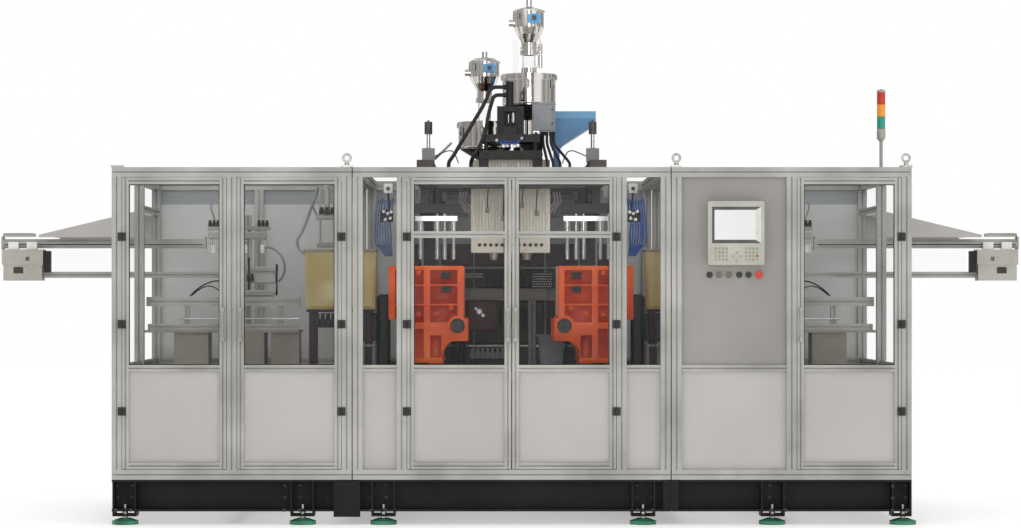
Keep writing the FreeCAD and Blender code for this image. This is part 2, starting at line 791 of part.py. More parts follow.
# ---- carriages, platens and moulds ----
bed_rail_y = [at(bed_front + bed_beam / 2), at(bed_rear + bed_beam / 2)]
guide_rails = [block(-bed_half_length + 20, bed_half_length - 20, y - rail_width / 2, y + rail_width / 2, bed_top,
                     bed_top + rail_height) for y in bed_rail_y]
cross_rail_x = [leg_inner + 50, leg_outer - 50]
carriage_top = carriage_bottom + carriage_plate
rail_top = carriage_top + cross_rail
platen_open = parting_depth - mould_opening - mould_depth
closing_x = (leg_inner + leg_outer) / 2


def carriage():
    plate = block(platen_inner, platen_outer, at(carriage_front), at(carriage_rear), carriage_bottom, carriage_top)
    shapes = [plate]
    for y in bed_rail_y:
        for x in (platen_inner, platen_outer - slider_length):
            shapes.append(block(x, x + slider_length, y - slider / 2, y + slider / 2, bed_top + 6, carriage_bottom))
    for x in cross_rail_x:
        shapes.append(block(x - cross_rail / 2, x + cross_rail / 2, at(carriage_front + 20), at(platen_rear_limit),
                            carriage_top, rail_top))
    cylinder_front = at(platen_rear_limit + 20)
    cylinder_rear = at(carriage_rear - 20)
    shapes.append(block(closing_x - 70, closing_x + 70, cylinder_rear - 40, cylinder_rear, carriage_top,
                        closing_z + 70))
    shapes.append(rod(closing_x, cylinder_front, closing_z, closing_radius, cylinder_rear - 40 - cylinder_front,
                      V(0, 1, 0)))
    shapes.append(block(closing_x - 70, closing_x + 70, cylinder_front, cylinder_front + 40, carriage_top,
                        closing_z + 70))
    whole = joined(shapes)
    for y in bed_rail_y:
        whole = whole.cut(block(platen_inner - 1, platen_outer + 1, y - rail_width / 2 - clear,
                                y + rail_width / 2 + clear, bed_top - 1, bed_top + rail_height + clear))
    bore = rod(closing_x, cylinder_front - 1, closing_z, closing_rod + clear, cylinder_rear - 50 - cylinder_front,
               V(0, 1, 0))
    return whole.cut(bore)


def arc_outline(y):
    corner = [V(leg_inner, y, platen_foot), V(leg_inner + 4, y, platen_foot + 60), V(358, y, 1094)]
    edges = [Part.Arc(*corner).toShape()]
    line = [corner[2], V(hub_x - boss_radius, y, 1094), V(hub_x - boss_radius, y, hub_z + 44),
            V(platen_inner, y, hub_z + 44), V(platen_inner, y, platen_top), V(platen_outer, y, platen_top),
            V(platen_outer, y, platen_shoulder), V(leg_outer, y, platen_shoulder), V(leg_outer, y, platen_foot),
            corner[0]]
    for a, b in zip(line, line[1:]):
        edges.append(Part.LineSegment(a, b).toShape())
    return Part.Face(Part.Wire(edges))


def platen(front):
    depth0 = platen_open - platen_depth
    body = arc_outline(at(depth0)).extrude(V(0, platen_depth, 0))
    rib_x = [platen_inner, 500.0, platen_outer - rib]
    bars_z = [hub_z - rib / 2, 1320.0, 1440.0, platen_top]
    for x, x_next in zip(rib_x, rib_x[1:]):
        for z, z_next in zip(bars_z, bars_z[1:]):
            low = z + (rib if z == bars_z[0] else thin_rib / 2)
            high = z_next - (pocket_shelf if z_next == platen_top else thin_rib / 2)
            body = body.cut(block(x + rib, x_next, at(depth0) - 1, at(depth0 + platen_depth - platen_skin), low, high))
    for x, x_next in ((leg_inner + 12, 500.0), (540.0, leg_outer - 22)):
        body = body.cut(block(x, x_next, at(depth0) - 1, at(depth0 + platen_depth - platen_skin), platen_foot + 30,
                              hub_z - rib / 2 - (40 if x < 500 else 0)))
    boss = rod(hub_x, at(depth0), hub_z, boss_radius, platen_depth, V(0, 1, 0))
    body = body.fuse(boss)
    hub = rod(hub_x, at(depth0) - 12, hub_z, hub_radius, 12, V(0, 1, 0))
    for x in cross_rail_x:
        body = body.fuse(block(x - slider / 2, x + slider / 2, at(depth0 + 10), at(depth0 + platen_depth - 10),
                               carriage_top + 5, platen_foot))
        body = body.cut(block(x - cross_rail / 2 - clear, x + cross_rail / 2 + clear, at(depth0), at(platen_open),
                              carriage_top, rail_top + clear))
    body = body.removeSplitter()
    if front:
        return [body, hub]
    turn_y = 2 * at(parting_depth)
    rear = body.mirror(V(0, turn_y / 2, 0), V(0, 1, 0))
    rod_front = at(platen_rear_limit - 10) - 30
    piston = rod(closing_x, rod_front, closing_z, closing_rod, 240, V(0, 1, 0))
    clevis = block(closing_x - 45, closing_x + 45, at(platen_rear_face - platen_depth + platen_skin), rod_front,
                   closing_z - 45, closing_z + 45)
    return [rear.fuse(clevis).fuse(piston).removeSplitter()]


def mould(front):
    y = at(parting_depth - mould_opening - mould_depth)
    body = block(station_x - mould_width / 2, station_x + mould_width / 2, y, y + mould_depth,
                 platen_top - mould_height, platen_top)
    face = y + mould_depth
    for step in (-1, 0, 1):
        x = station_x + step * pitch
        neck_z = platen_top - neck_length
        body = body.cut(rod(x, face, neck_z - 1, neck_bore, neck_length + 2))
        shoulder = Part.makeCone(body_radius, neck_bore, 25, V(x, face, neck_z - 25))
        body = body.cut(shoulder)
        body = body.cut(rod(x, face, neck_z - 25 - body_length, body_radius, body_length))
    if front:
        return body
    return body.mirror(V(0, at(parting_depth), 0), V(0, 1, 0))


platen_rear_face = 2 * parting_depth - platen_open + platen_depth
platen_rear_limit = platen_rear_face + 20
right_carriage = carriage()
nodes["right_carriage"] = [right_carriage]
nodes["left_carriage"] = [mirrored(right_carriage)]
for name, front in (("front", True), ("rear", False)):
    shapes = platen(front)
    nodes["right_%s_platen" % name] = shapes
    nodes["left_%s_platen" % name] = [mirrored(shape) for shape in shapes]
    half = mould(front)
    nodes["right_%s_mould" % name] = [half]
    nodes["left_%s_mould" % name] = [mirrored(half)]

# ---- blow pins ----
pin_y = at(parting_depth)
column_y = pin_y + column_set_back
plate_left = column_x[0] - 80
plate_right = column_x[1] + 30
header = block(plate_left, plate_right, pin_y - 30, column_y + 30, blow_plate_bottom, blow_plate_bottom + blow_plate)
for x in column_x:
    header = header.cut(rod(x, column_y, blow_plate_bottom - 1, column_radius + clear, blow_plate + 2))
blow_top = blow_plate_bottom + blow_plate
blow_rod_top = bridge_bottom + bridge_height + blow_cylinder_height - 12
header = header.fuse(rod(station_x, column_y, blow_top, blow_rod_radius, blow_rod_top - blow_top))
unit = [header]
for step in (-1, 0, 1):
    x = station_x + step * pitch
    pin = rod(x, pin_y, blow_pin_bottom, blow_pin_radius, blow_plate_bottom - blow_pin_bottom)
    pin = pin.fuse(rod(x, pin_y, blow_plate_bottom - blow_body_length, blow_body_radius, blow_body_length))
    pin = pin.fuse(rod(x, pin_y, blow_pin_bottom + 40, blow_pin_radius + 4, 12))
    unit.append(pin.removeSplitter())
nodes["right_blow_unit"] = unit
nodes["left_blow_unit"] = [mirrored(shape) for shape in unit]
columns = [rod(x, column_y, blow_pin_bottom, column_radius, bridge_bottom - blow_pin_bottom) for x in column_x]
bridge_top = bridge_bottom + bridge_height
bridge = block(plate_left - 20, plate_right + 20, pin_y - 40, column_y + 40, bridge_bottom, bridge_top)
bridge = bridge.fuse(rod(station_x, column_y, bridge_top, blow_cylinder_radius, blow_cylinder_height))
bridge = bridge.cut(rod(station_x, column_y, bridge_bottom - 1, blow_rod_radius + clear,
                        bridge_height + blow_cylinder_height - 4))
hanger = block(station_right - 55, station_right, pin_y - 40, pin_y + 60, bridge_top, platform_bottom)
frame += both([bridge.fuse(hanger).removeSplitter()])
nodes["machine_frame"] = frame
nodes["guide_rails"] = guide_rails + both(columns)

# ---- die head ----
head_half = head_width / 2
plate = block(-head_half, head_half, at(head_front), at(head_rear), head_bottom, head_bottom + die_plate)
for step in (-1, 0, 1):
    plate = plate.fuse(Part.makeCone(nozzle_radius * 0.7, nozzle_radius, nozzle_length,
                                     V(step * pitch, at(parting_depth + 60), head_bottom - nozzle_length)))
head_block = block(-head_block_width / 2, head_block_width / 2, at(head_front + 40), at(head_rear - 40),
                   head_bottom + die_plate, lower_slab_bottom)
nodes["die_head"] = [plate, head_block]
guard = block(-head_half, head_half, at(head_front), at(head_rear), head_bottom + die_plate, lower_slab_bottom)
guard = guard.cut(block(-head_half + sheet, head_half - sheet, at(head_front) + sheet, at(head_rear) + 1,
                        head_bottom + die_plate - 1, lower_slab_bottom + 1))
nodes["head_guard"] = [guard]

# ---- extruder drive ----
lower_half = lower_slab_width / 2
upper_half = upper_slab_width / 2
drive = [block(-lower_half, lower_half, at(slab_front), at(lower_slab_rear), lower_slab_bottom, lower_slab_top)]
drive.append(block(-upper_half, upper_half, at(slab_front), at(upper_slab_rear), upper_slab_bottom, upper_slab_top))
for x in (-upper_half + 30, upper_half - 30):
    for y in (at(slab_front + 30), at(upper_slab_rear - 30)):
        drive.append(rod(x, y, lower_slab_top, 14, upper_slab_bottom - lower_slab_top))
pillar_top = lower_slab_bottom
pillar_base = platform_bottom + cross_beam
front_pillar_y = at(slab_front + 10)
rear_pillar_y = at(cross_depths[1] + 10)
for x, y in ((-170, front_pillar_y), (170, front_pillar_y), (-60, rear_pillar_y), (170, rear_pillar_y)):
    drive.append(block(x - pillar / 2, x + pillar / 2, y, y + pillar, pillar_base, pillar_top))
block_half = drive_block_width / 2
drive.append(block(-block_half, block_half, at(slab_front + 80), at(upper_slab_rear), upper_slab_top,
                   drive_block_top))
yoke = block(ram_x - 42, ram_x + 42, at(ram_depth - 24), at(ram_depth + 24), upper_slab_top, yoke_top)
drive.append(yoke)
for x in (ram_x - 22, ram_x + 22):
    drive.append(rod(x, at(ram_depth), yoke_top, 8, ram_bottom - yoke_top))
ram = rod(ram_x, at(ram_depth), ram_bottom + 20, ram_radius, ram_top - ram_bottom - 20)
ram = ram.fuse(block(ram_x - 38, ram_x + 38, at(ram_depth - 24), at(slab_front + 80), ram_bottom, ram_bottom + 30))
for z in ram_ports:
    ram = ram.fuse(rod(ram_x - ram_radius - port_length, at(ram_depth), z, 15, port_length + 10, V(1, 0, 0)))
drive.append(ram.removeSplitter())


def extruder(x, z, front, rear, throat, outlet, half_box):
    barrel = rod(x, at(front), z, barrel_radius, rear - front, V(0, 1, 0))
    seat = block(x - 50, x + 50, at(throat - 50), at(throat + 50), z, outlet)
    box_rear = rear + gearbox_length
    gearbox = block(x - half_box, x + half_box, at(rear), at(box_rear), z - half_box, z + half_box)
    motor = rod(x, at(box_rear), z, half_box - 8, motor_length, V(0, 1, 0))
    foot = block(x - half_box, x + half_box, at(box_rear - 90), at(box_rear - 30), pillar_base, z - half_box)
    return [joined([barrel, seat]), gearbox, motor, foot]


drive += extruder(main_x, main_barrel_z, upper_slab_rear, barrel_rear, main_depth, main_hopper["outlet"],
                  main_gearbox)
drive += extruder(side_x, side_barrel_z, head_rear - 40, barrel_rear, side_depth, side_hopper["outlet"],
                  side_gearbox)
nodes["extruder_drive"] = drive


# ---- hoppers and loaders ----
def hopper(x, depth, sizes):
    top = sizes["top"]
    outer = [(outlet_radius, sizes["outlet"]), (outlet_radius, sizes["cone"]), (drum_radius, sizes["drum"]),
             (drum_radius, top - rim_height), (rim_radius, top - rim_height), (rim_radius, top)]
    inner = [(drum_radius - wall, top), (drum_radius - wall, sizes["drum"]), (outlet_radius - wall, sizes["cone"]),
             (outlet_radius - wall, sizes["outlet"])]
    cover = rod(x, at(depth), top, rim_radius - 6, lid)
    cover = cover.cut(rod(x, at(depth), top - 1, glass_radius - glass_wall, lid + 2))
    return [turned(x, at(depth), outer + inner), cover]


def loader(x, depth, base, sizes):
    y = at(depth)
    inner_glass = glass_radius - glass_wall
    low = base + sizes["collar"]
    collar_piece = turned(x, y, [(inner_glass, base), (glass_radius + 14, base), (glass_radius + 14, base + 8),
                                 (glass_radius + 4, base + 8), (glass_radius + 4, low), (inner_glass, low)])
    high = low + sizes["glass"]
    tube = turned(x, y, [(inner_glass, low), (glass_radius, low), (glass_radius, high), (inner_glass, high)])
    cone = high + sizes["neck"]
    drum = cone + sizes["cone"]
    drum_top = drum + sizes["drum"]
    lid_top = drum_top + sizes["lid"]
    outer = [(inner_glass, high), (glass_radius + 12, high), (glass_radius + 12, high + 30),
             (glass_radius + 4, high + 30), (glass_radius + 4, cone), (loader_radius - 18, drum - 45),
             (loader_radius, drum), (loader_radius, drum_top)]
    inner = [(loader_radius - wall, drum_top), (loader_radius - wall, drum), (loader_radius - 18 - wall, drum - 44),
             (inner_glass, cone)]
    body = turned(x, y, outer + inner)
    cap = turned(x, y, [(0, drum_top), (loader_lid_radius, drum_top), (loader_lid_radius, drum_top + 8),
                        (60, lid_top), (18, lid_top), (18, lid_top + sizes["knob"]), (0, lid_top + sizes["knob"])])
    port_z = drum + 28
    port_end = x - loader_radius - port_reach
    port = rod(port_end, y, port_z, port_radius, port_reach + 6, V(1, 0, 0))
    port = port.fuse(rod(x - loader_radius - port_collar, y, port_z, port_radius + 6, port_collar + 6, V(1, 0, 0)))
    port = port.cut(rod(x, y, port_z - 40, loader_radius, 80))
    port = port.cut(rod(port_end, y, port_z, port_radius - 4, port_reach - 5, V(1, 0, 0))).removeSplitter()
    box_x = x + 33
    box = block(box_x - control_width / 2, box_x + control_width / 2, y - loader_radius - control_depth + 20,
                y - 50, drum + 22, drum + 22 + control_height)
    box = box.cut(rod(x, y, drum, loader_radius + 0.1, 200))
    return [collar_piece, body, cap, port], [tube], [box]


hoppers = []
loaders = []
glasses = []
controls = []
for x, depth, hopper_sizes, loader_sizes in ((main_x, main_depth, main_hopper, main_loader),
                                             (side_x, side_depth, side_hopper, side_loader)):
    hoppers += hopper(x, depth, hopper_sizes)
    metal, clear_parts, boxes = loader(x, depth, hopper_sizes["top"] + lid, loader_sizes)
    loaders += metal
    glasses += clear_parts
    controls += boxes
glasses.append(turned(main_x - 86, at(main_depth), [(18, main_hopper["top"] + lid), (22, main_hopper["top"] + lid),
                                                    (22, feed_tube_top), (18, feed_tube_top)]))
nodes["material_hoppers"] = hoppers
nodes["vacuum_loaders"] = loaders
nodes["sight_tubes"] = glasses
nodes["loader_controls"] = controls

# ---- regrind hopper, junction box, jacks, tower, hoses ----
regrind_loop = [(regrind_left, regrind_bottom), (regrind_left + 52, regrind_bottom),
                (regrind_left + 70, regrind_bottom + 26), (regrind_right, regrind_top - 82),
                (regrind_right, regrind_top), (regrind_left, regrind_top)]
regrind = prism(regrind_loop, at(regrind_front), at(regrind_rear))
top_face = [f for f in regrind.Faces if f.CenterOfMass.z > regrind_top - 1]
regrind = regrind.makeThickness(top_face, -regrind_wall, 0.01)
leg_front = at(regrind_front - 10)
leg = block(regrind_left + 6, regrind_left + 46, leg_front, leg_front + 38, pillar_base, regrind_bottom)
nodes["regrind_hopper"] = [regrind, leg]

enclosure = block(junction_left, junction_right, at(junction_front), at(junction_rear), junction_bottom, junction_top)
enclosure = enclosure.makeFillet(6, [e for e in enclosure.Edges if abs(e.Vertexes[0].Y - e.Vertexes[1].Y) > 1])
bracket_y0 = at(junction_front + 10)
bracket_y1 = at(junction_rear - 10)
shelf = block(junction_left - 58, junction_left - 4, bracket_y0, bracket_y1, upper_slab_top, upper_slab_top + 6)
back = block(junction_left - 6, junction_left, bracket_y0, bracket_y1, upper_slab_top, junction_top - 34)
bracket = shelf.fuse(back).removeSplitter()
gland_y = at((junction_front + junction_rear) / 2)
gland_bottom = junction_bottom - 18
glands = [rod(x, gland_y, gland_bottom, 9, 18) for x in gland_x]
nodes["junction_box"] = [enclosure, bracket] + glands

jacks = []
for side in (-1, 1):
    x = side * jack_x
    y = at(jack_depth)
    for step_x in (-28, 28):
        for step_y in (-28, 28):
            jacks.append(rod(x + step_x, y + step_y, platform_top, 8, jack_box_bottom - platform_top))
    jacks.append(block(x - jack_half, x + jack_half, y - jack_half, y + jack_half, jack_box_bottom, jack_box_top))
    jacks.append(rod(x, y, jack_box_top, 12, jack_cap_bottom - jack_box_top))
    cap = rod(x, y, jack_cap_bottom, 25, jack_cap)
    jacks.append(cap.fuse(rod(x, y, jack_cap_bottom + jack_cap, 7, 10)).removeSplitter())
jack_side = -jack_x + jack_half
lever = Part.makeCylinder(8, 150, V(jack_side, at(jack_depth), jack_box_bottom + 16), V(110, 0, 108))
jacks.append(lever.cut(block(jack_side - 40, jack_side, at(jack_depth - 40), at(jack_depth + 40), jack_box_bottom - 40,
                             jack_box_top)))
nodes["screw_jacks"] = jacks

tower_x = half_width - post / 2
tower_y = at(tower_depth)
tower = [rod(tower_x, tower_y, guard_top, 28, 8).fuse(
    rod(tower_x, tower_y, guard_top, pole_radius, tower_base_bottom - guard_top)).removeSplitter()]
tower.append(turned(tower_x, tower_y, [(0, tower_base_bottom), (pole_radius + 3, tower_base_bottom),
                                       (lamp_radius - 2, tower_base_bottom + 26), (lamp_radius - 2, tower_base_top),
                                       (0, tower_base_top)]))
for step in range(3):
    z = tower_base_top + step * (lamp_height + 2)
    tower.append(rod(tower_x, tower_y, z, lamp_radius - 4, 2))
    tower.append(rod(tower_x, tower_y, z + 2, lamp_radius, lamp_height))
tower_top = tower_base_top + 3 * (lamp_height + 2)
tower.append(turned(tower_x, tower_y, [(0, tower_top), (lamp_radius - 2, tower_top), (lamp_radius - 2, tower_top + 14),
                                       (lamp_radius - 12, tower_top + 22), (0, tower_top + 22)]))
nodes["signal_tower"] = tower

manifold_top = pillar_base + 80
hose_y = at(870)
slab_face = at(slab_front - 24)
ram_y = at(ram_depth)
port_x = ram_x - ram_radius - port_length
manifolds = [block(x0, x1, at(800), at(930), pillar_base, manifold_top) for x0, x1 in ((-420, -210), (215, 430))]
routes = [([(port_x, ram_y, 2690), (-125, ram_y, 2690), (-165, ram_y, 2585), (-270, ram_y - 10, 2410),
            (-360, hose_y, 2255), (-390, hose_y, 2215), (-390, hose_y, manifold_top)], 12),
          ([(port_x, ram_y, 2640), (-105, ram_y, 2640), (-140, ram_y - 20, 2520), (-155, slab_face, 2420),
            (-185, slab_face, 2330), (-235, slab_face, 2250), (-250, hose_y, 2215), (-250, hose_y, manifold_top)], 12)]
for x, x_end, low in zip(gland_x, (232, 268, 312, 372), (2300, 2290, 2285, 2280)):
    routes.append(([(x, gland_y, gland_bottom), (x, gland_y, gland_bottom - 55), (x_end - 6, at(900), low - 60),
                    (x_end, hose_y, manifold_top + 25), (x_end, hose_y, manifold_top)], 9))
hoses = [hose(points, radius) for points, radius in routes]
nodes["machine_frame"] += manifolds
nodes["hoses"] = hoses

# ---- side bays and transfer arms ----
bench_x = middle_post_x
cabinet_box = block(bench_x - 110, bench_x + 110, at(bench_front), at(bench_front + 300), base_top, bench_bottom)
box_y0 = at(bench_front + 30)
box_y1 = box_y0 + 240
second_box = block(bench_x + 250, bench_x + 470, box_y0, box_y1, bench_box_bottom, bench_bottom)
third_box = block(bench_x - 330, bench_x - 150, box_y0, box_y1, bench_box_bottom, bench_bottom)
bench_right = half_width - post - 4
bench_top = bench_bottom + 16
table = block(bench_x - 330, bench_right, at(bench_front), at(bench_front + 410), bench_bottom, bench_top)
nodes["side_benches"] = both([cabinet_box, second_box, third_box, table])

supports = []
for x in (bench_x - 200, bench_x + 40, bench_x + 400):
    supports.append(profile(stile, (x, at(conveyor_depth), bench_top), (x, at(conveyor_depth), conveyor_z - post / 2)))
supports.append(profile(post, (bench_x - 330, at(conveyor_depth), conveyor_z),
                        (half_width - post - 3, at(conveyor_depth), conveyor_z)))
supports.append(profile(stile, (bench_x - 330, at(conveyor_depth - 80), bench_top + stile / 2),
                        (half_width - post - 20, at(conveyor_depth - 80), bench_top + stile / 2)))
upright_x = support_inner - stile / 2
supports.append(profile(stile, (upright_x, at(arm_depth), bench_top), (upright_x, at(arm_depth), upright_top)))
supports.append(profile(stile, (support_inner, at(arm_depth), support_z), (drive_inner + 8, at(arm_depth), support_z)))
nodes["frame_rails"] += both(supports)

arm_y = at(arm_depth)
arm_z = arm_bottom + post / 2
arm_front = arm_y - post / 2
arm = [profile(post, (arm_inner, arm_y, arm_z), (arm_outer, arm_y, arm_z))]
arm.append(block(arm_inner - arm_plate, arm_inner, arm_front - 10, arm_y + post / 2 + 10, arm_bottom - end_plate_drop,
                 arm_bottom + post + end_plate_rise))
arm.append(block(arm_outer, arm_outer + arm_plate, arm_front - 10, arm_y + post / 2 + 10, arm_bottom - end_plate_drop,
                 arm_bottom + post + end_plate_rise))
arm.append(block(arm_inner, arm_outer, arm_front - arm_rail, arm_front, arm_bottom + 14, arm_bottom + 44))
nodes["right_transfer_arm"] = arm
nodes["left_transfer_arm"] = [mirrored(shape) for shape in arm]

unit = [block(drive_inner, arm_outer, at(drive_front), at(drive_rear), drive_middle, drive_top)]
unit.append(block(drive_inner + 8, arm_outer - 8, at(drive_front + 10), at(drive_rear - 10), drive_bottom,
                  drive_middle))
unit[1] = unit[1].cut(block(drive_inner, drive_inner + 8.5, arm_y - stile / 2 - 0.5, arm_y + stile / 2 + 0.5,
                            support_z - stile / 2 - 0.5, support_z + stile / 2 + 0.5))
window_x = drive_inner + 86
unit[0] = unit[0].cut(block(window_x, window_x + 26, at(drive_front) - 1, at(drive_front) + 40, 1602, 1628))
motor = block(drive_inner - 46, drive_inner, at(drive_front + 20), at(drive_rear - 80), drive_bottom + 54,
              drive_top - 10)
unit.append(motor)
rail_face = arm_front - arm_rail - clear
for x in (drive_inner + 40, drive_inner + 160):
    unit.append(block(x, x + 66, rail_face - 38, rail_face, drive_top, arm_bottom + 40))
nodes["transfer_drives"] = both(unit)

os.makedirs("parts", exist_ok=True)
for name, shapes in nodes.items():
    Part.makeCompound(shapes).exportStep("parts/%s.step" % name)
print(len(nodes), "nodes", sum(len(shapes) for shapes in nodes.values()), "solids")
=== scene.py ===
import bpy
import bmesh
import math
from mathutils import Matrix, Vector


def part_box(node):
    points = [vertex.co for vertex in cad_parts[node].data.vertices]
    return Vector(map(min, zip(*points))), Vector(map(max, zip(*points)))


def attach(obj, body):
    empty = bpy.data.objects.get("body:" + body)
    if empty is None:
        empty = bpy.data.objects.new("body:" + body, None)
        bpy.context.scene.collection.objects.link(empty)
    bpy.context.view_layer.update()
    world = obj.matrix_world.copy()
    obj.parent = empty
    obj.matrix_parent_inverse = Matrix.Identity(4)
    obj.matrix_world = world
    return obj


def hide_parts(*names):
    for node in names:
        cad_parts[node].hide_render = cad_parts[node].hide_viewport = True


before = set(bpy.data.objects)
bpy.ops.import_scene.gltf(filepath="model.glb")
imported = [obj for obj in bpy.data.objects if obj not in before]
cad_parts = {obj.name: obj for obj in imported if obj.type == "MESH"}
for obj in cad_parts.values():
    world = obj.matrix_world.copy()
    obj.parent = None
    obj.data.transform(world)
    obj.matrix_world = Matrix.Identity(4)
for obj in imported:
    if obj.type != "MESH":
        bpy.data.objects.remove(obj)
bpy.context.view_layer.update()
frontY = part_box("frame_posts")[0].y    # the guard's front face; depths are counted back from it
print("frame loaded")

# the camera stands in front of the guard, level, a little left of the middle
view = {"place": (-0.132, -19.090, 1.350), "lens": 105.8, "shift": (0.0204, 0.035)}
bpy.ops.object.camera_add(location=view["place"], rotation=(math.radians(90), 0, 0))
camera = bpy.context.object
camera.name = "machineCamera"
camera.data.sensor_width = 36
camera.data.lens = view["lens"]
camera.data.shift_x, camera.data.shift_y = view["shift"]
camera.data.clip_end = 200
bpy.context.scene.camera = camera
bpy.context.scene.view_settings.view_transform = "Standard"

studio = {"sky": 1.0, "bounce": 0.60, "keyPower": 130.0, "fillPower": 60.0, "frontPower": 400.0}


def buildStudio():
    world = bpy.data.worlds.new("paleStudio")
    bpy.context.scene.world = world
    world.use_nodes = True
    tree = world.node_tree
    tree.nodes.clear()
    out = tree.nodes.new("ShaderNodeOutputWorld")
    seen = tree.nodes.new("ShaderNodeBackground")
    seen.inputs["Color"].default_value = (1, 1, 1, 1)
    seen.inputs["Strength"].default_value = studio["sky"]
    around = tree.nodes.new("ShaderNodeBackground")
    around.inputs["Strength"].default_value = studio["bounce"]
    place = tree.nodes.new("ShaderNodeTexCoord")
    split = tree.nodes.new("ShaderNodeSeparateXYZ")
    tree.links.new(place.outputs["Generated"], split.inputs["Vector"])
    lift = tree.nodes.new("ShaderNodeMapRange")
    lift.inputs["From Min"].default_value = -1
    tree.links.new(split.outputs["Z"], lift.inputs["Value"])
    height = tree.nodes.new("ShaderNodeValToRGB")
    stops = [(0.0, 0.75), (0.42, 0.7), (0.5, 0.5), (0.56, 0.95), (0.72, 1.1), (1.0, 1.2)]
    for index, (spot, tone) in enumerate(stops):
        stop = height.color_ramp.elements[index] if index < 2 else height.color_ramp.elements.new(spot)
        stop.position = spot
        stop.color = (tone, tone, tone, 1)
    tree.links.new(lift.outputs["Result"], height.inputs["Fac"])
    squash = tree.nodes.new("ShaderNodeMapping")
    squash.inputs["Scale"].default_value = (1, 1, 0.2)
    tree.links.new(place.outputs["Generated"], squash.inputs["Vector"])
    bands = tree.nodes.new("ShaderNodeTexNoise")    # soft dark and light flags for the metal to show
    bands.inputs["Scale"].default_value = 3.2
    tree.links.new(squash.outputs["Vector"], bands.inputs["Vector"])
    contrast = tree.nodes.new("ShaderNodeMapRange")
    for socket, value in (("From Min", 0.38), ("From Max", 0.62), ("To Min", 0.45), ("To Max", 1.35)):
        contrast.inputs[socket].default_value = value
    tree.links.new(bands.outputs["Fac"], contrast.inputs["Value"])
    mixed = tree.nodes.new("ShaderNodeVectorMath")
    mixed.operation = "MULTIPLY"
    tree.links.new(height.outputs["Color"], mixed.inputs[0])
    tree.links.new(contrast.outputs["Result"], mixed.inputs[1])
    tree.links.new(mixed.outputs["Vector"], around.inputs["Color"])
    path = tree.nodes.new("ShaderNodeLightPath")
    choice = tree.nodes.new("ShaderNodeMixShader")
    tree.links.new(path.outputs["Is Camera Ray"], choice.inputs["Fac"])
    tree.links.new(around.outputs["Background"], choice.inputs[1])
    tree.links.new(seen.outputs["Background"], choice.inputs[2])
    tree.links.new(choice.outputs["Shader"], out.inputs["Surface"])
    for name, spot, power, size in (("keyLamp", (-5.0, -9.0, 7.0), studio["keyPower"], 6.0),
                                    ("fillLamp", (6.5, -8.0, 4.0), studio["fillPower"], 6.0),
                                    ("frontLamp", (0.0, -21.5, 4.2), studio["frontPower"], 5.0)):
        bpy.ops.object.light_add(type="AREA", location=spot)
        lamp = bpy.context.object
        lamp.name = name
        lamp.data.energy = power
        lamp.data.size = size
        lamp.rotation_euler = (Vector((0, 0, 1.2)) - Vector(spot)).to_track_quat("-Z", "Y").to_euler()
    bpy.ops.mesh.primitive_plane_add(size=90)
    floor = bpy.context.object
    floor.name = "studioFloor"
    return floor


studioFloor = buildStudio()


def tint(code):
    values = [int(code[i:i + 2], 16) / 255 for i in (1, 3, 5)]
    return [v / 12.92 if v < 0.04045 else ((v + 0.055) / 1.055) ** 2.4 for v in values] + [1.0]


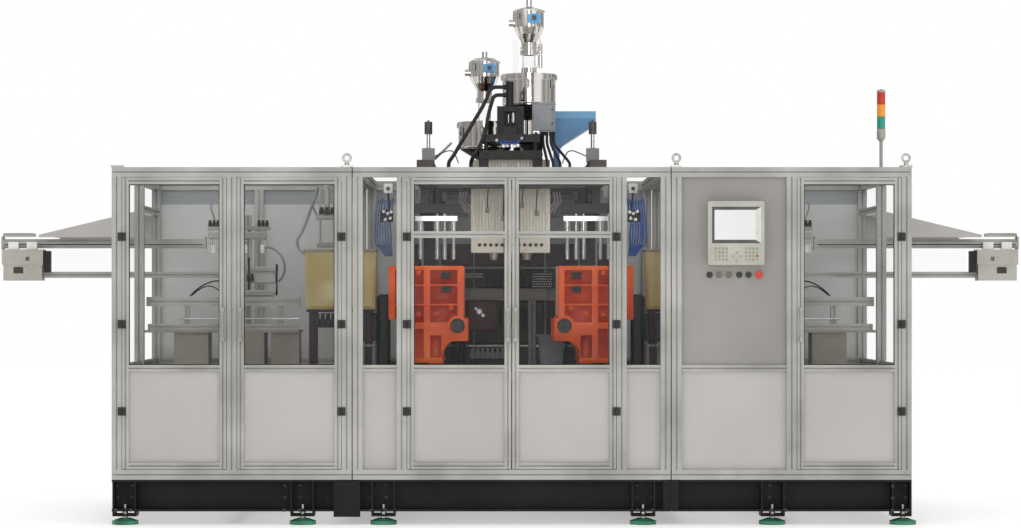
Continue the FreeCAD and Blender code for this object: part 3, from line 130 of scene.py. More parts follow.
def makeFinish(name, look):
    material = bpy.data.materials.new(name)
    material.use_nodes = True
    tree = material.node_tree
    shader = tree.nodes["Principled BSDF"]
    place = tree.nodes.new("ShaderNodeTexCoord")
    stretch = tree.nodes.new("ShaderNodeMapping")
    stretch.inputs["Scale"].default_value = look.get("stretch", (1, 1, 1))
    tree.links.new(place.outputs["Object"], stretch.inputs["Vector"])
    drift = tree.nodes.new("ShaderNodeTexNoise")    # slow change of tone over the piece
    drift.inputs["Scale"].default_value = look.get("drift", 3.0)
    drift.inputs["Detail"].default_value = 3
    tree.links.new(stretch.outputs["Vector"], drift.inputs["Vector"])
    tone = tree.nodes.new("ShaderNodeValToRGB")
    tone.color_ramp.elements[0].position = 0.34
    tone.color_ramp.elements[0].color = tint(look["dark"])
    tone.color_ramp.elements[1].position = 0.66
    tone.color_ramp.elements[1].color = tint(look["light"])
    tree.links.new(drift.outputs["Fac"], tone.inputs["Fac"])
    colour = tone.outputs["Color"]
    if "rise" in look:    # a second tone that takes over between two heights
        split = tree.nodes.new("ShaderNodeSeparateXYZ")
        tree.links.new(place.outputs["Object"], split.inputs["Vector"])
        low, high, upper = look["rise"]
        step = tree.nodes.new("ShaderNodeMapRange")
        step.inputs["From Min"].default_value = low
        step.inputs["From Max"].default_value = high
        tree.links.new(split.outputs["Z"], step.inputs["Value"])
        blend = tree.nodes.new("ShaderNodeMix")
        blend.data_type = "RGBA"
        tree.links.new(step.outputs["Result"], blend.inputs["Factor"])
        tree.links.new(colour, blend.inputs["A"])
        blend.inputs["B"].default_value = tint(upper)
        colour = blend.outputs["Result"]
    tree.links.new(colour, shader.inputs["Base Color"])
    grain = tree.nodes.new("ShaderNodeTexNoise")    # fine grain for gloss and relief
    grain.inputs["Scale"].default_value = look.get("grain", 180.0)
    grain.inputs["Detail"].default_value = 2
    tree.links.new(stretch.outputs["Vector"], grain.inputs["Vector"])
    gloss = tree.nodes.new("ShaderNodeMapRange")
    gloss.inputs["From Min"].default_value = 0.3
    gloss.inputs["From Max"].default_value = 0.7
    gloss.inputs["To Min"].default_value, gloss.inputs["To Max"].default_value = look["rough"]
    tree.links.new(grain.outputs["Fac"], gloss.inputs["Value"])
    tree.links.new(gloss.outputs["Result"], shader.inputs["Roughness"])
    relief = tree.nodes.new("ShaderNodeBump")
    relief.inputs["Strength"].default_value = look.get("bump", 0.1)
    relief.inputs["Distance"].default_value = look.get("depth", 0.0006)
    tree.links.new(grain.outputs["Fac"], relief.inputs["Height"])
    tree.links.new(relief.outputs["Normal"], shader.inputs["Normal"])
    shader.inputs["Metallic"].default_value = look.get("metal", 0.0)
    shader.inputs["Coat Weight"].default_value = look.get("coat", 0.0)
    shader.inputs["Specular IOR Level"].default_value = look.get("shine", 0.5)
    shader.inputs["Alpha"].default_value = look.get("alpha", 1.0)
    if "glow" in look:
        shader.inputs["Emission Color"].default_value = tint(look["light"])
        shader.inputs["Emission Strength"].default_value = look["glow"]
    return material


looks = {
    "anodised": {"dark": "#969691", "light": "#B2B1AC", "rough": (0.34, 0.5), "metal": 0.25, "grain": 240,
                 "bump": 0.06},
    "panelPaint": {"dark": "#B2AEAA", "light": "#BCB9B5", "rough": (0.42, 0.54), "grain": 700, "bump": 0.08,
                   "drift": 1.2},
    "controlPaint": {"dark": "#8E8B86", "light": "#9B9893", "rough": (0.4, 0.5), "grain": 700, "bump": 0.08,
                     "drift": 1.5},
    "baseBlack": {"dark": "#0E0B0A", "light": "#1B1816", "rough": (0.42, 0.58), "shine": 0.22, "grain": 90,
                  "bump": 0.2},
    "footGreen": {"dark": "#266049", "light": "#3E8768", "rough": (0.3, 0.45), "grain": 120, "bump": 0.15,
                  "drift": 12},
    "clearGuard": {"dark": "#8F9698", "light": "#A3A9AB", "rough": (0.04, 0.09), "alpha": 0.027, "grain": 6,
                   "bump": 0.02},
    "frostGuard": {"dark": "#C2C5C3", "light": "#D8DAD8", "rough": (0.35, 0.5), "alpha": 0.94, "grain": 400,
                   "rise": (1.985, 1.995, "#9DA1A3"), "drift": 0.8},
    "hingeBlack": {"dark": "#171615", "light": "#2A2826", "rough": (0.35, 0.55), "grain": 300, "bump": 0.25,
                   "drift": 20},
    "zincSteel": {"dark": "#A9A9A6", "light": "#CACAC6", "rough": (0.22, 0.4), "metal": 0.8, "grain": 260,
                  "drift": 25},
    "stainless": {"dark": "#CFCBC4", "light": "#E2DED8", "rough": (0.06, 0.16), "metal": 1.0, "grain": 14,
                  "bump": 0.25,
                  "depth": 0.004, "stretch": (1, 1, 0.35)},
    "darkCasting": {"dark": "#2E2A2A", "light": "#453F3E", "rough": (0.4, 0.6), "grain": 160, "bump": 0.3},
    "groundSteel": {"dark": "#C3C3C1", "light": "#DBDBD9", "rough": (0.12, 0.26), "metal": 0.9, "grain": 420},
    "dieSteel": {"dark": "#B5AFA1", "light": "#D0CABC", "rough": (0.3, 0.45), "metal": 0.45, "grain": 200},
    "guardSheet": {"dark": "#B4B0A3", "light": "#CBC7BA", "rough": (0.3, 0.45), "metal": 0.4, "grain": 160,
                   "stretch": (1, 1, 0.1)},
    "driveBlack": {"dark": "#191615", "light": "#2C2826", "rough": (0.32, 0.48), "shine": 0.3, "grain": 120,
                   "bump": 0.2},
    "loaderBlue": {"dark": "#5FA4DA", "light": "#7CBBEA", "rough": (0.25, 0.35), "grain": 300, "drift": 15},
    "regrindBlue": {"dark": "#3F7DB2", "light": "#4F8FC3", "rough": (0.25, 0.4), "grain": 300, "bump": 0.06,
                    "rise": (2.522, 2.53, "#68AED8"), "drift": 5},
    "boxGrey": {"dark": "#83868A", "light": "#93969A", "rough": (0.4, 0.5), "grain": 600, "bump": 0.1, "drift": 8},
    "hoseRubber": {"dark": "#121111", "light": "#211F1F", "rough": (0.4, 0.6), "grain": 260, "bump": 0.2, "drift": 12},
    "benchBeige": {"dark": "#8A8378", "light": "#9C958A", "rough": (0.42, 0.55), "grain": 500, "bump": 0.1},
    "drivePlate": {"dark": "#A5A298", "light": "#BAB7AD", "rough": (0.32, 0.46), "metal": 0.25, "grain": 220},
    "platenOrange": {"dark": "#DC4604", "light": "#F86A12", "shine": 0.3, "rough": (0.3, 0.45), "grain": 120,
                     "bump": 0.25,
                     "coat": 0.08, "drift": 3.5},
    "mouldAlloy": {"dark": "#A3A5A7", "light": "#BDBFC1", "rough": (0.25, 0.4), "metal": 0.7, "grain": 260},
    "buttonBlack": {"dark": "#0F0F0F", "light": "#1D1C1C", "rough": (0.2, 0.32), "grain": 300, "drift": 30},
    "stopRed": {"dark": "#BC2A1B", "light": "#D63C28", "rough": (0.2, 0.32), "grain": 300, "drift": 30},
    "amberSheet": {"dark": "#C2AE68", "light": "#D9C988", "rough": (0.1, 0.2), "alpha": 0.62, "grain": 20,
                   "drift": 2.5},
    "paleCase": {"dark": "#AEADA1", "light": "#BDBCB0", "rough": (0.4, 0.52), "grain": 500, "bump": 0.12, "drift": 6},
    "bezelDark": {"dark": "#3E3E3B", "light": "#52524E", "rough": (0.3, 0.4), "grain": 400, "drift": 20},
    "screenPale": {"dark": "#D6D6D5", "light": "#DEDEDE", "rough": (0.12, 0.2), "grain": 40, "glow": 0.12},
    "keyGrey": {"dark": "#8D8C7C", "light": "#A3A292", "rough": (0.4, 0.5), "grain": 400, "drift": 40},
    "keyPale": {"dark": "#D0CFC6", "light": "#DEDDD5", "rough": (0.35, 0.45), "grain": 400, "drift": 40},
    "pilotGrey": {"dark": "#5F5C52", "light": "#77746A", "rough": (0.2, 0.3), "grain": 300, "drift": 40},
    "lampTeal": {"dark": "#1B8676", "light": "#2A9C8B", "rough": (0.15, 0.25), "grain": 60, "glow": 0.12},
    "lampAmber": {"dark": "#E08A18", "light": "#F0A238", "rough": (0.15, 0.25), "grain": 60, "glow": 0.15},
    "lampRed": {"dark": "#B4241A", "light": "#D23A2C", "rough": (0.15, 0.25), "grain": 60, "glow": 0.12},
    "towerGrey": {"dark": "#9A9E8E", "light": "#B0B3A6", "rough": (0.35, 0.5), "grain": 400, "drift": 20},
    "nylonWhite": {"dark": "#DEDDD8", "light": "#EFEEEA", "rough": (0.3, 0.4), "grain": 300, "drift": 20},
    "blueTube": {"dark": "#24509F", "light": "#3A6DC4", "rough": (0.2, 0.3), "grain": 200, "drift": 20},
    # the same blue as blueTube, greyed and lightened: painted reflection haze of the window glass, used on the left
    # bay's air lines
    "glareHazedBlueTube": {"dark": "#4F6088", "light": "#6C7EA6", "rough": (0.25, 0.35), "grain": 200, "drift": 20},
    "greyTube": {"dark": "#7D8083", "light": "#94979A", "rough": (0.3, 0.45), "grain": 200, "drift": 15},
    "redIron": {"dark": "#46191D", "light": "#552227", "rough": (0.4, 0.55), "grain": 120, "bump": 0.2, "drift": 4},
    "navyPaint": {"dark": "#252A44", "light": "#333858", "rough": (0.35, 0.5), "grain": 300, "bump": 0.1, "drift": 6},
    "brownIron": {"dark": "#2B1616", "light": "#3E2423", "rough": (0.45, 0.6), "grain": 120, "bump": 0.3, "drift": 4},
    "sealBlack": {"dark": "#2A2A29", "light": "#3A3A38", "rough": (0.5, 0.6), "grain": 300, "drift": 10},
    "paleFloor": {"dark": "#F6F6F5", "light": "#FAFAF9", "rough": (0.6, 0.75), "grain": 12, "bump": 0.02, "drift": 0.4,
                  "glow": 0.42},
}
finishes = {name: makeFinish(name, look) for name, look in looks.items()}
studioFloor.data.materials.append(finishes["paleFloor"])
print("finishes made")


def dress(node, finishName, others=()):
    # the node takes one finish, and the faces that pass a later test take another
    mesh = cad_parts[node].data
    mesh.materials.clear()
    mesh.materials.append(finishes[finishName])
    for face in mesh.polygons:
        face.material_index = 0
    for index, (otherName, test) in enumerate(others, 1):
        mesh.materials.append(finishes[otherName])
        for face in mesh.polygons:
            if test(face.center):
                face.material_index = index


doorNames = ["left_outer_door", "left_inner_door", "centre_left_door", "centre_right_door", "right_door"]
plainDress = {
    "base_frames": "baseBlack", "levelling_feet": "footGreen", "frame_posts": "anodised", "frame_rails": "anodised",
    "fixed_panels": "panelPaint", "eye_bolts": "zincSteel", "post_hinges": "hingeBlack", "hmi_housing": "paleCase",
    "machine_frame": "darkCasting", "guide_rails": "groundSteel", "die_head": "dieSteel", "head_guard": "guardSheet",
    "extruder_drive": "driveBlack", "material_hoppers": "stainless", "vacuum_loaders": "stainless",
    "sight_tubes": "clearGuard", "loader_controls": "loaderBlue", "regrind_hopper": "regrindBlue",
    "screw_jacks": "boxGrey", "hoses": "hoseRubber", "side_benches": "benchBeige", "selector_switch": "buttonBlack",
    "start_button": "buttonBlack", "stop_button": "buttonBlack", "e_stop_button": "stopRed"}
for door in doorNames:
    plainDress[door + "_frame"] = "anodised"
    plainDress[door + "_window"] = "clearGuard"
for side in ("left", "right"):
    for end in ("front", "rear"):
        plainDress[f"{side}_{end}_mould"] = "mouldAlloy"
        plainDress[f"{side}_{end}_platen"] = "platenOrange"
    plainDress[side + "_carriage"] = "darkCasting"
    plainDress[side + "_transfer_arm"] = "anodised"
    plainDress[side + "_blow_unit"] = "groundSteel"
for node, finishName in plainDress.items():
    dress(node, finishName)
for door in doorNames:
    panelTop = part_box(door + "_window")[0].z - 0.01
    dress(door + "_frame", "anodised", [("panelPaint", lambda c, door=door, panelTop=panelTop: c.z < panelTop
                                         and abs(c.y - frontY - 0.02) < 0.0041
                                         and c.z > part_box(door + "_frame")[0].z + 0.02)])
    dress(door + "_hardware", "hingeBlack", [("anodised", lambda c: c.y < frontY - 0.0152)])
dress("fixed_windows", "clearGuard", [("frostGuard", lambda c: c.y > 0.9)])
dress("levelling_feet", "footGreen", [("zincSteel", lambda c: c.z > 0.0385)])
dress("control_panel", "controlPaint", [
    ("pilotGrey", lambda c: abs(c.z - 1.5) < 0.02 and c.y < frontY + 0.0255 and c.x < 1.33 and c.x > 1.22),
    ("sealBlack", lambda c: abs(c.z - 1.5) < 0.02 and c.y < frontY + 0.0255 and (c.x < 1.21 or 1.34 < c.x < 1.45))])
dress("hmi_front", "keyGrey", [
    ("bezelDark", lambda c: c.z > 1.685),
    ("screenPale", lambda c: 1.7095 < c.z < 1.8877 and 1.2145 < c.x < 1.4597),
    ("keyPale", lambda c: c.x > 1.4685 and c.z > 1.7),
    ("stopRed", lambda c: c.x > 1.457 and c.z < 1.625 and c.z > 1.6)])
dress("screw_jacks", "boxGrey", [("bezelDark", lambda c: c.z > 2.385), ("groundSteel", lambda c: 2.312 < c.z < 2.385),
                                ("darkCasting", lambda c: c.z < 2.222)])
dress("junction_box", "boxGrey", [("driveBlack", lambda c: c.z < 2.4075)])
dress("transfer_drives", "drivePlate", [("driveBlack", lambda c: abs(c.x) < 3.0215),
                                        ("nylonWhite", lambda c: c.z > 1.6765)])
print("nodes dressed")


def deep(depth):
    return frontY + depth


def tidySelection():
    if bpy.context.object and bpy.context.object.mode != "OBJECT":
        bpy.ops.object.mode_set(mode="OBJECT")
    bpy.ops.object.select_all(action="DESELECT")


def settle(piece):
    # the piece's place goes into its mesh, and its object stays at the origin
    tidySelection()
    piece.select_set(True)
    bpy.context.view_layer.objects.active = piece
    bpy.ops.object.transform_apply(location=True, rotation=True, scale=True)


def choose(piece, kind, test):
    bpy.ops.mesh.select_mode(type=kind)
    bpy.ops.mesh.select_all(action="DESELECT")
    cage = bmesh.from_edit_mesh(piece.data)
    for part in {"FACE": cage.faces, "EDGE": cage.edges, "VERT": cage.verts}[kind]:
        part.select_set(test(part))
    bmesh.update_edit_mesh(piece.data)


def facing(*way):
    return lambda face: face.normal.dot(Vector(way)) > 0.9


def faced(margin, sunk):
    # one panel on the front of a block
    return [((0, -1, 0), margin, sunk)]


def boxPiece(name, low, high, edge=0.002, panels=()):
    # a block with rounded edges; each panel is (way it faces, margin, how far it is sunk or, below zero, raised)
    tidySelection()
    low, high = Vector(low), Vector(high)
    bpy.ops.mesh.primitive_cube_add(size=1, location=(low + high) / 2)
    piece = bpy.context.object
    piece.name = name
    piece.scale = high - low
    settle(piece)
    bpy.ops.object.mode_set(mode="EDIT")
    if edge:
        bpy.ops.mesh.select_all(action="SELECT")
        bpy.ops.mesh.bevel(offset=edge, segments=2, affect="EDGES")
    for way, margin, sunk in panels:
        choose(piece, "FACE", lambda face: facing(*way)(face) and face.calc_area() > edge * edge * 20)
        bpy.ops.mesh.inset(thickness=margin)
        bpy.ops.mesh.inset(thickness=min(abs(sunk), margin) * 0.5, depth=-sunk)
    bpy.ops.object.mode_set(mode="OBJECT")
    return piece


def turnPiece(name, base, outline, sides=32, way=(0, 0, 1)):
    # a turned part: outline is (radius, height) from one end to the other
    tidySelection()
    bpy.ops.mesh.primitive_circle_add(vertices=sides, radius=outline[0][0], fill_type="NGON")
    piece = bpy.context.object
    piece.name = name
    bpy.ops.object.mode_set(mode="EDIT")
    for (radius, height), (nextRadius, nextHeight) in zip(outline, outline[1:]):
        bpy.ops.mesh.extrude_region_move(TRANSFORM_OT_translate={"value": (0, 0, nextHeight - height)})
        bpy.ops.transform.resize(value=(nextRadius / radius, nextRadius / radius, 1))
    bpy.ops.mesh.select_all(action="SELECT")
    bpy.ops.mesh.normals_make_consistent(inside=False)
    bpy.ops.object.mode_set(mode="OBJECT")
    piece.rotation_mode = "QUATERNION"
    piece.rotation_quaternion = Vector((0, 0, 1)).rotation_difference(Vector(way))
    piece.location = base
    settle(piece)
    return piece


def boltPiece(name, base, radius, height, way=(0, 0, 1), sides=16):
    # a cap screw on a washer, with its key socket
    return turnPiece(name, base, [(radius * 1.35, 0), (radius * 1.35, height * 0.18), (radius, height * 0.18),
                                  (radius, height * 0.9), (radius * 0.88, height), (radius * 0.5, height),
                                  (radius * 0.46, height * 0.5)], sides, way)


def tubePiece(name, points, radius, steps=10):
    tidySelection()
    curve = bpy.data.curves.new(name, "CURVE")
    curve.dimensions = "3D"
    line = curve.splines.new("NURBS")
    line.points.add(len(points) - 1)
    for spot, point in zip(points, line.points):
        point.co = (*spot, 1)
    line.order_u = 3
    line.use_endpoint_u = True
    curve.resolution_u = steps
    curve.bevel_depth = radius
    curve.bevel_resolution = 3
    curve.use_fill_caps = True
    piece = bpy.data.objects.new(name, curve)
    bpy.context.collection.objects.link(piece)
    piece.select_set(True)
    bpy.context.view_layer.objects.active = piece
    bpy.ops.object.convert(target="MESH")
    return bpy.context.object


def gather(pieces, name):
    tidySelection()
    for piece in pieces:
        piece.select_set(True)
    bpy.context.view_layer.objects.active = pieces[0]
    if len(pieces) > 1:
        bpy.ops.object.join()
    pieces[0].name = name
    return pieces[0]


def twinOf(piece, move=(0, 0, 0)):
    twin = piece.copy()
    twin.data = piece.data.copy()
    bpy.context.collection.objects.link(twin)
    twin.location = move
    settle(twin)
    return twin


def repeat(piece, moves):
    # copies at each move from where the piece was made, joined as one
    name = piece.name
    copies = [twinOf(piece, move) for move in moves]
    bpy.data.objects.remove(piece)
    return gather(copies, name)


def mirrorOf(piece, name):
    twin = piece.copy()
    twin.data = piece.data.copy()
    twin.name = name
    bpy.context.collection.objects.link(twin)
    twin.scale = (-1, 1, 1)
    settle(twin)
    bpy.ops.object.mode_set(mode="EDIT")
    bpy.ops.mesh.select_all(action="SELECT")
    bpy.ops.mesh.normals_make_consistent(inside=False)
    bpy.ops.object.mode_set(mode="OBJECT")
    return twin


def fit(piece, finishName, body="machine", smooth=35):
    # finish, material slot and body of a new piece
    tidySelection()
    piece.select_set(True)
    bpy.context.view_layer.objects.active = piece
    piece.data.materials.clear()
    piece.data.materials.append(finishes[finishName])
    for face in piece.data.polygons:
        face.material_index = 0
    bpy.ops.object.shade_smooth_by_angle(angle=math.radians(smooth))
    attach(piece, body)
    return piece


def fitBoth(piece, finishName, body="machine"):
    # the same piece on the right and, mirrored, on the left
    name = piece.name
    bodies = {"right": body, "left": body.replace("right", "left")}
    twin = mirrorOf(piece, "left" + name)
    piece.name = "right" + name
    fit(piece, finishName, bodies["right"])
    fit(twin, finishName, bodies["left"])
    return piece, twin


def softCopy(node, name, edge):
    # the node's own shape with its edges rounded
    tidySelection()
    piece = bpy.data.objects.new(name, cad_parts[node].data.copy())
    bpy.context.collection.objects.link(piece)
    piece.select_set(True)
    bpy.context.view_layer.objects.active = piece
    bpy.ops.object.mode_set(mode="EDIT")
    bpy.ops.mesh.select_all(action="SELECT")
    bpy.ops.mesh.customdata_custom_splitnormals_clear()
    bpy.ops.mesh.remove_doubles(threshold=0.00002)
    bpy.ops.object.mode_set(mode="OBJECT")
    rounding = piece.modifiers.new("rounding", "BEVEL")
    rounding.width = edge
    rounding.segments = 2
    rounding.limit_method = "ANGLE"
    rounding.angle_limit = math.radians(40)
    bpy.ops.object.modifier_apply(modifier=rounding.name)
    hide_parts(node)
    return piece


# ---- clamps: castings with their screws and tie nuts ----
castings = {"edge": 0.005, "screwRadius": 0.0115, "nutX": 0.330, "nutZ": 1.190, "nutCircle": 0.0255,
            "screws": ((0.462, 1.262), (0.372, 1.300), (0.572, 1.262), (0.690, 1.262), (0.572, 1.516), (0.690, 1.516)),
            "coolingX": 0.402, "coolingZ": (1.500, 1.414)}


def firstHit(piece, origin, way):
    # where a line from the origin first meets the piece
    bpy.context.view_layer.update()
    inverse = piece.matrix_world.inverted()
    hit, spot = piece.ray_cast(inverse @ Vector(origin), inverse.to_3x3() @ Vector(way))[:2]
    return piece.matrix_world @ spot if hit else None


def buildCastings():
    for side, sign in (("left", -1), ("right", 1)):
        for end, turned in (("Front", -1), ("Rear", 1)):
            body = f"{side}_{end.lower()}_clamp"
            node = f"{side}_{end.lower()}_platen"
            low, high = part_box(node)
            outer = low.y if turned < 0 else high.y
            casting = softCopy(node, f"{side}{end}Casting", castings["edge"])
            fit(casting, "platenOrange", body, 50)
            floor = firstHit(casting, (sign * 0.42, outer + turned, 1.44), (0, -turned, 0)).y
            screw = boltPiece(f"{side}{end}PlatenScrews", (0, floor, 0), castings["screwRadius"], 0.024,
                              (0, turned, 0))
            spots = [(sign * x, 0, z) for x, z in castings["screws"]]
            fit(repeat(screw, spots), "platenOrange", body)
            near, far = sorted((floor, floor + turned * 0.042))
            pad = boxPiece(f"{side}{end}CoolingBlocks", (-0.030, near, -0.020), (0.030, far, 0.020), 0.004,
                           [((0, turned, 0), 0.008, 0.006)])
            pad = repeat(pad, [(sign * castings["coolingX"], 0, z) for z in castings["coolingZ"]])
            fit(pad, "hingeBlack", body)
            hub = turnPiece(f"{side}{end}TieNut", (sign * castings["nutX"], outer, castings["nutZ"]),
                            [(0.045, 0), (0.045, 0.004), (0.041, 0.007), (0.034, 0.007), (0.033, 0.004),
                             (0.018, 0.004),
                             (0.017, 0.0075), (0.010, 0.0085)], 40, (0, turned, 0))
            fit(hub, "sealBlack", body)
            ring = boltPiece(f"{side}{end}TieScrews", (0, outer, 0), 0.0032, 0.006, (0, turned, 0), 10)
            turns = [math.radians(angle) for angle in range(0, 360, 45)]
            spots = [(sign * castings["nutX"] + castings["nutCircle"] * math.cos(turn), turned * 0.004,
                      castings["nutZ"] + castings["nutCircle"] * math.sin(turn)) for turn in turns]
            fit(repeat(ring, spots), "pilotGrey", body)


buildCastings()
print("clamps done")


# ---- hoppers and loaders: rim clamps, handles, sight glass bands, valve ----
def buildClamp(name, centre, radius, angle, height, drop):
    # a toggle clamp: hook plate, bail and lever against the rim
    plate = boxPiece(name + "Plate", (radius, -0.011, height - drop), (radius + 0.006, 0.011, height), 0.0015,
                     [((1, 0, 0), 0.004, 0.002)])
    lever = boxPiece(name + "Lever", (radius + 0.006, -0.007, height - drop * 0.75),
                     (radius + 0.018, 0.007, height - drop * 0.15), 0.003, [((1, 0, 0), 0.003, 0.001)])
    hook = tubePiece(name + "Hook", [(radius + 0.012, -0.005, height - drop * 0.2),
                                     (radius + 0.016, -0.005, height + 0.012),
                                     (radius - 0.004, 0, height + 0.017), (radius + 0.016, 0.005, height + 0.012),
                                     (radius + 0.012, 0.005, height - drop * 0.2)], 0.0022, 6)
    clamp = gather([plate, lever, hook], name)
    clamp.rotation_euler = (0, 0, math.radians(angle))
    clamp.location = (centre[0], centre[1], 0)
    settle(clamp)
    return clamp


vessels = {
    "main": {"x": 0.121, "depth": 1.300, "hopperTop": 2.791, "cone": 2.598, "neck": 2.965, "drumLow": 3.103,
             "lid": 3.198, "knob": 3.214},
    "side": {"x": -0.165, "depth": 1.600, "hopperTop": 2.502, "cone": 2.331, "neck": 2.636, "drumLow": 2.804,
             "lid": 2.894, "knob": 2.918}}

rims = {"hopper": 0.1705, "loader": 0.0955, "boltCircle": 0.0535}


def buildVessels():
    for name, part in vessels.items():
        centre = (part["x"], deep(part["depth"]))
        clamps = [buildClamp(f"{name}HopperClamp{angle}", centre, rims["hopper"], angle, part["hopperTop"] - 0.030,
                             0.062)
                  for angle in (-150, -95, -30, 30, 90, 150)]
        fit(gather(clamps, name + "HopperClamps"), "zincSteel")
        bead = turnPiece(name + "HopperBead", (*centre, part["cone"] + 0.004),
                         [(0.1695, 0), (0.1725, 0.002), (0.1740, 0.006), (0.1725, 0.010), (0.1695, 0.012)], 72)
        fit(bead, "stainless")
        loaderClamps = [buildClamp(f"{name}LoaderClamp{angle}", centre, rims["loader"], angle, part["lid"] - 0.004,
                                   0.050)
                        for angle in (-140, 35, 155)]
        fit(gather(loaderClamps, name + "LoaderClamps"), "zincSteel")
        band = turnPiece(name + "LoaderBand", (*centre, part["drumLow"] + 0.004),
                         [(0.0945, 0), (0.0970, 0.002), (0.0970, 0.008), (0.0945, 0.010)], 56)
        fit(band, "stainless")
        nuts = boltPiece(name + "NeckNuts", (0, 0, 0), 0.0045, 0.007, (0, 0, 1), 6)
        spots = [(centre[0] + rims["boltCircle"] * math.cos(a * math.pi / 3),
                  centre[1] + rims["boltCircle"] * math.sin(a * math.pi / 3),
                  part["neck"]) for a in range(6)]
        fit(repeat(nuts, spots), "zincSteel")
        tie = turnPiece(name + "GlassTies", (0, 0, 0), [(0.0035, 0), (0.0035, 0.5), (0.002, 0.502)], 12)
        tie.scale = (1, 1, (part["neck"] - part["hopperTop"] - 0.016) / 0.502)
        settle(tie)
        spots = [(centre[0] + rims["boltCircle"] * math.cos(math.radians(a)),
                  centre[1] + rims["boltCircle"] * math.sin(math.radians(a)),
                  part["hopperTop"] + 0.012) for a in (45, 135, 225, 315)]
        fit(repeat(tie, spots), "groundSteel")
        handle = tubePiece(name + "LidHandle", [(centre[0] - 0.034, centre[1] - 0.055, part["lid"] + 0.011),
                                               (centre[0] - 0.034, centre[1] - 0.062, part["lid"] + 0.034),
                                               (centre[0] + 0.034, centre[1] - 0.062, part["lid"] + 0.034),
                                               (centre[0] + 0.034, centre[1] - 0.055, part["lid"] + 0.011)], 0.003)
        fit(handle, "groundSteel")
        knob = turnPiece(name + "LidKnob", (*centre, 0),
                         [(0.0182, 0), (0.0205, 0.003), (0.0205, 0.012), (0.0182, 0.016)], 28)
        knob.location = (0, 0, part["knob"])
        settle(knob)
        fit(knob, "sealBlack")
        boxX = centre[0] + 0.033
        boxFront = centre[1] - 0.117
        boxLow = part["drumLow"] + 0.022
        cover = boxPiece(name + "ControlCover", (boxX - 0.0395, boxFront - 0.003, boxLow + 0.003),
                         (boxX + 0.0395, boxFront + 0.001, boxLow + 0.055), 0.0012, faced(0.004, 0.0012))
        fit(cover, "loaderBlue")
        pad = boxPiece(name + "ControlSwitch", (boxX - 0.014, boxFront - 0.006, boxLow + 0.016),
                       (boxX + 0.012, boxFront - 0.0015, boxLow + 0.042), 0.001, faced(0.003, 0.001))
        fit(pad, "bezelDark")
        screws = boltPiece(name + "ControlScrews", (0, boxFront - 0.003, 0), 0.0022, 0.0022, (0, -1, 0), 10)
        spots = [(boxX + u, 0, boxLow + v) for u in (-0.035, 0.035) for v in (0.0075, 0.0505)]
        fit(repeat(screws, spots), "zincSteel")
    # pinch valve beside the main loader's neck
    x, y = vessels["main"]["x"], deep(vessels["main"]["depth"])
    barrelLine = [(0.011, 0), (0.014, 0.004), (0.014, 0.075), (0.011, 0.079), (0.011, 0.092), (0.014, 0.096),
                  (0.014, 0.150), (0.009, 0.156)]
    valve = [turnPiece("valveBarrel", (x + 0.072, y - 0.01, 2.840), barrelLine, 24),
             boxPiece("valveLowBracket", (x + 0.045, y - 0.022, 2.842), (x + 0.082, y + 0.004, 2.850), 0.0015,
                      [((0, 0, 1), 0.004, 0.001)]),
             boxPiece("valveHighBracket", (x + 0.045, y - 0.022, 2.982), (x + 0.082, y + 0.004, 2.990), 0.0015,
                      [((0, 0, 1), 0.004, 0.001)])]
    fit(gather(valve, "pinchValve"), "stainless")
    drop = tubePiece("airLineMain", [(x + 0.072, y - 0.024, 2.955), (x + 0.072, y - 0.050, 2.950),
                                     (x + 0.074, y - 0.062, 3.000),
                                     (x + 0.055, y - 0.090, 3.060), (x + 0.040, y - 0.100, 3.128)], 0.0035)
    fit(drop, "nylonWhite")


buildVessels()
print("vessels done")


# ---- signal tower: foot, pole, three ribbed lenses and a cap ----
tower = {"x": 2.370, "y": 0.090, "pole": 2.373, "lensHeight": 0.077, "lensRadius": 0.0272, "ribs": 7}


def buildTower():
    x, y = tower["x"], tower["y"]
    low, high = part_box("signal_tower")
    foot = turnPiece("towerFoot", (x, y, low.z),
                     [(0.0315, 0), (0.0315, 0.004), (0.028, 0.008), (0.016, 0.012), (0.013, 0.030),
                                                 (0.0115, 0.034), (0.0108, 0.036), (0.0108,
                                                                                    tower["pole"] - low.z - 0.012),
                                                 (0.013, tower["pole"] - low.z - 0.010), (0.020,
                                                                                          tower["pole"] - low.z)], 40)
    bowl = [(0.020, 0), (0.0262, 0.006), (0.0275, 0.012), (0.0275, 0.060), (0.0262, 0.064), (0.0262, 0.068),
            (0.0245, 0.070)]
    base = turnPiece("towerBase", (x, y, tower["pole"]), bowl, 40)
    made = [fit(foot, "anodised"), fit(base, "towerGrey")]
    for index, colour in enumerate(("lampTeal", "lampAmber", "lampRed")):
        bottom = tower["pole"] + 0.070 + index * tower["lensHeight"]
        outline = [(0.0245, 0), (0.0275, 0.001), (0.0275, 0.005)]
        step = (tower["lensHeight"] - 0.012) / tower["ribs"]
        for rib in range(tower["ribs"]):
            start = 0.006 + rib * step
            outline += [(0.0256, start), (0.0272, start + step * 0.35), (0.0272, start + step * 0.65),
                        (0.0256, start + step * 0.97)]
        outline += [(0.0272, tower["lensHeight"] - 0.004), (0.0245, tower["lensHeight"])]
        lens = turnPiece(f"towerLens{index + 1}", (x, y, bottom), outline, 40)
        made.append(fit(lens, colour, smooth=25))
    top = tower["pole"] + 0.070 + 3 * tower["lensHeight"]
    cap = turnPiece("towerCap", (x, y, top), [(0.0245, 0), (0.0275, 0.001), (0.0275, 0.010), (0.024, 0.015),
                                              (0.012, 0.018),
                                              (0.004, high.z - top)], 40)
    made.append(fit(cap, "towerGrey"))
    for piece in made:
        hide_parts("signal_tower")


buildTower()
print("tower done")


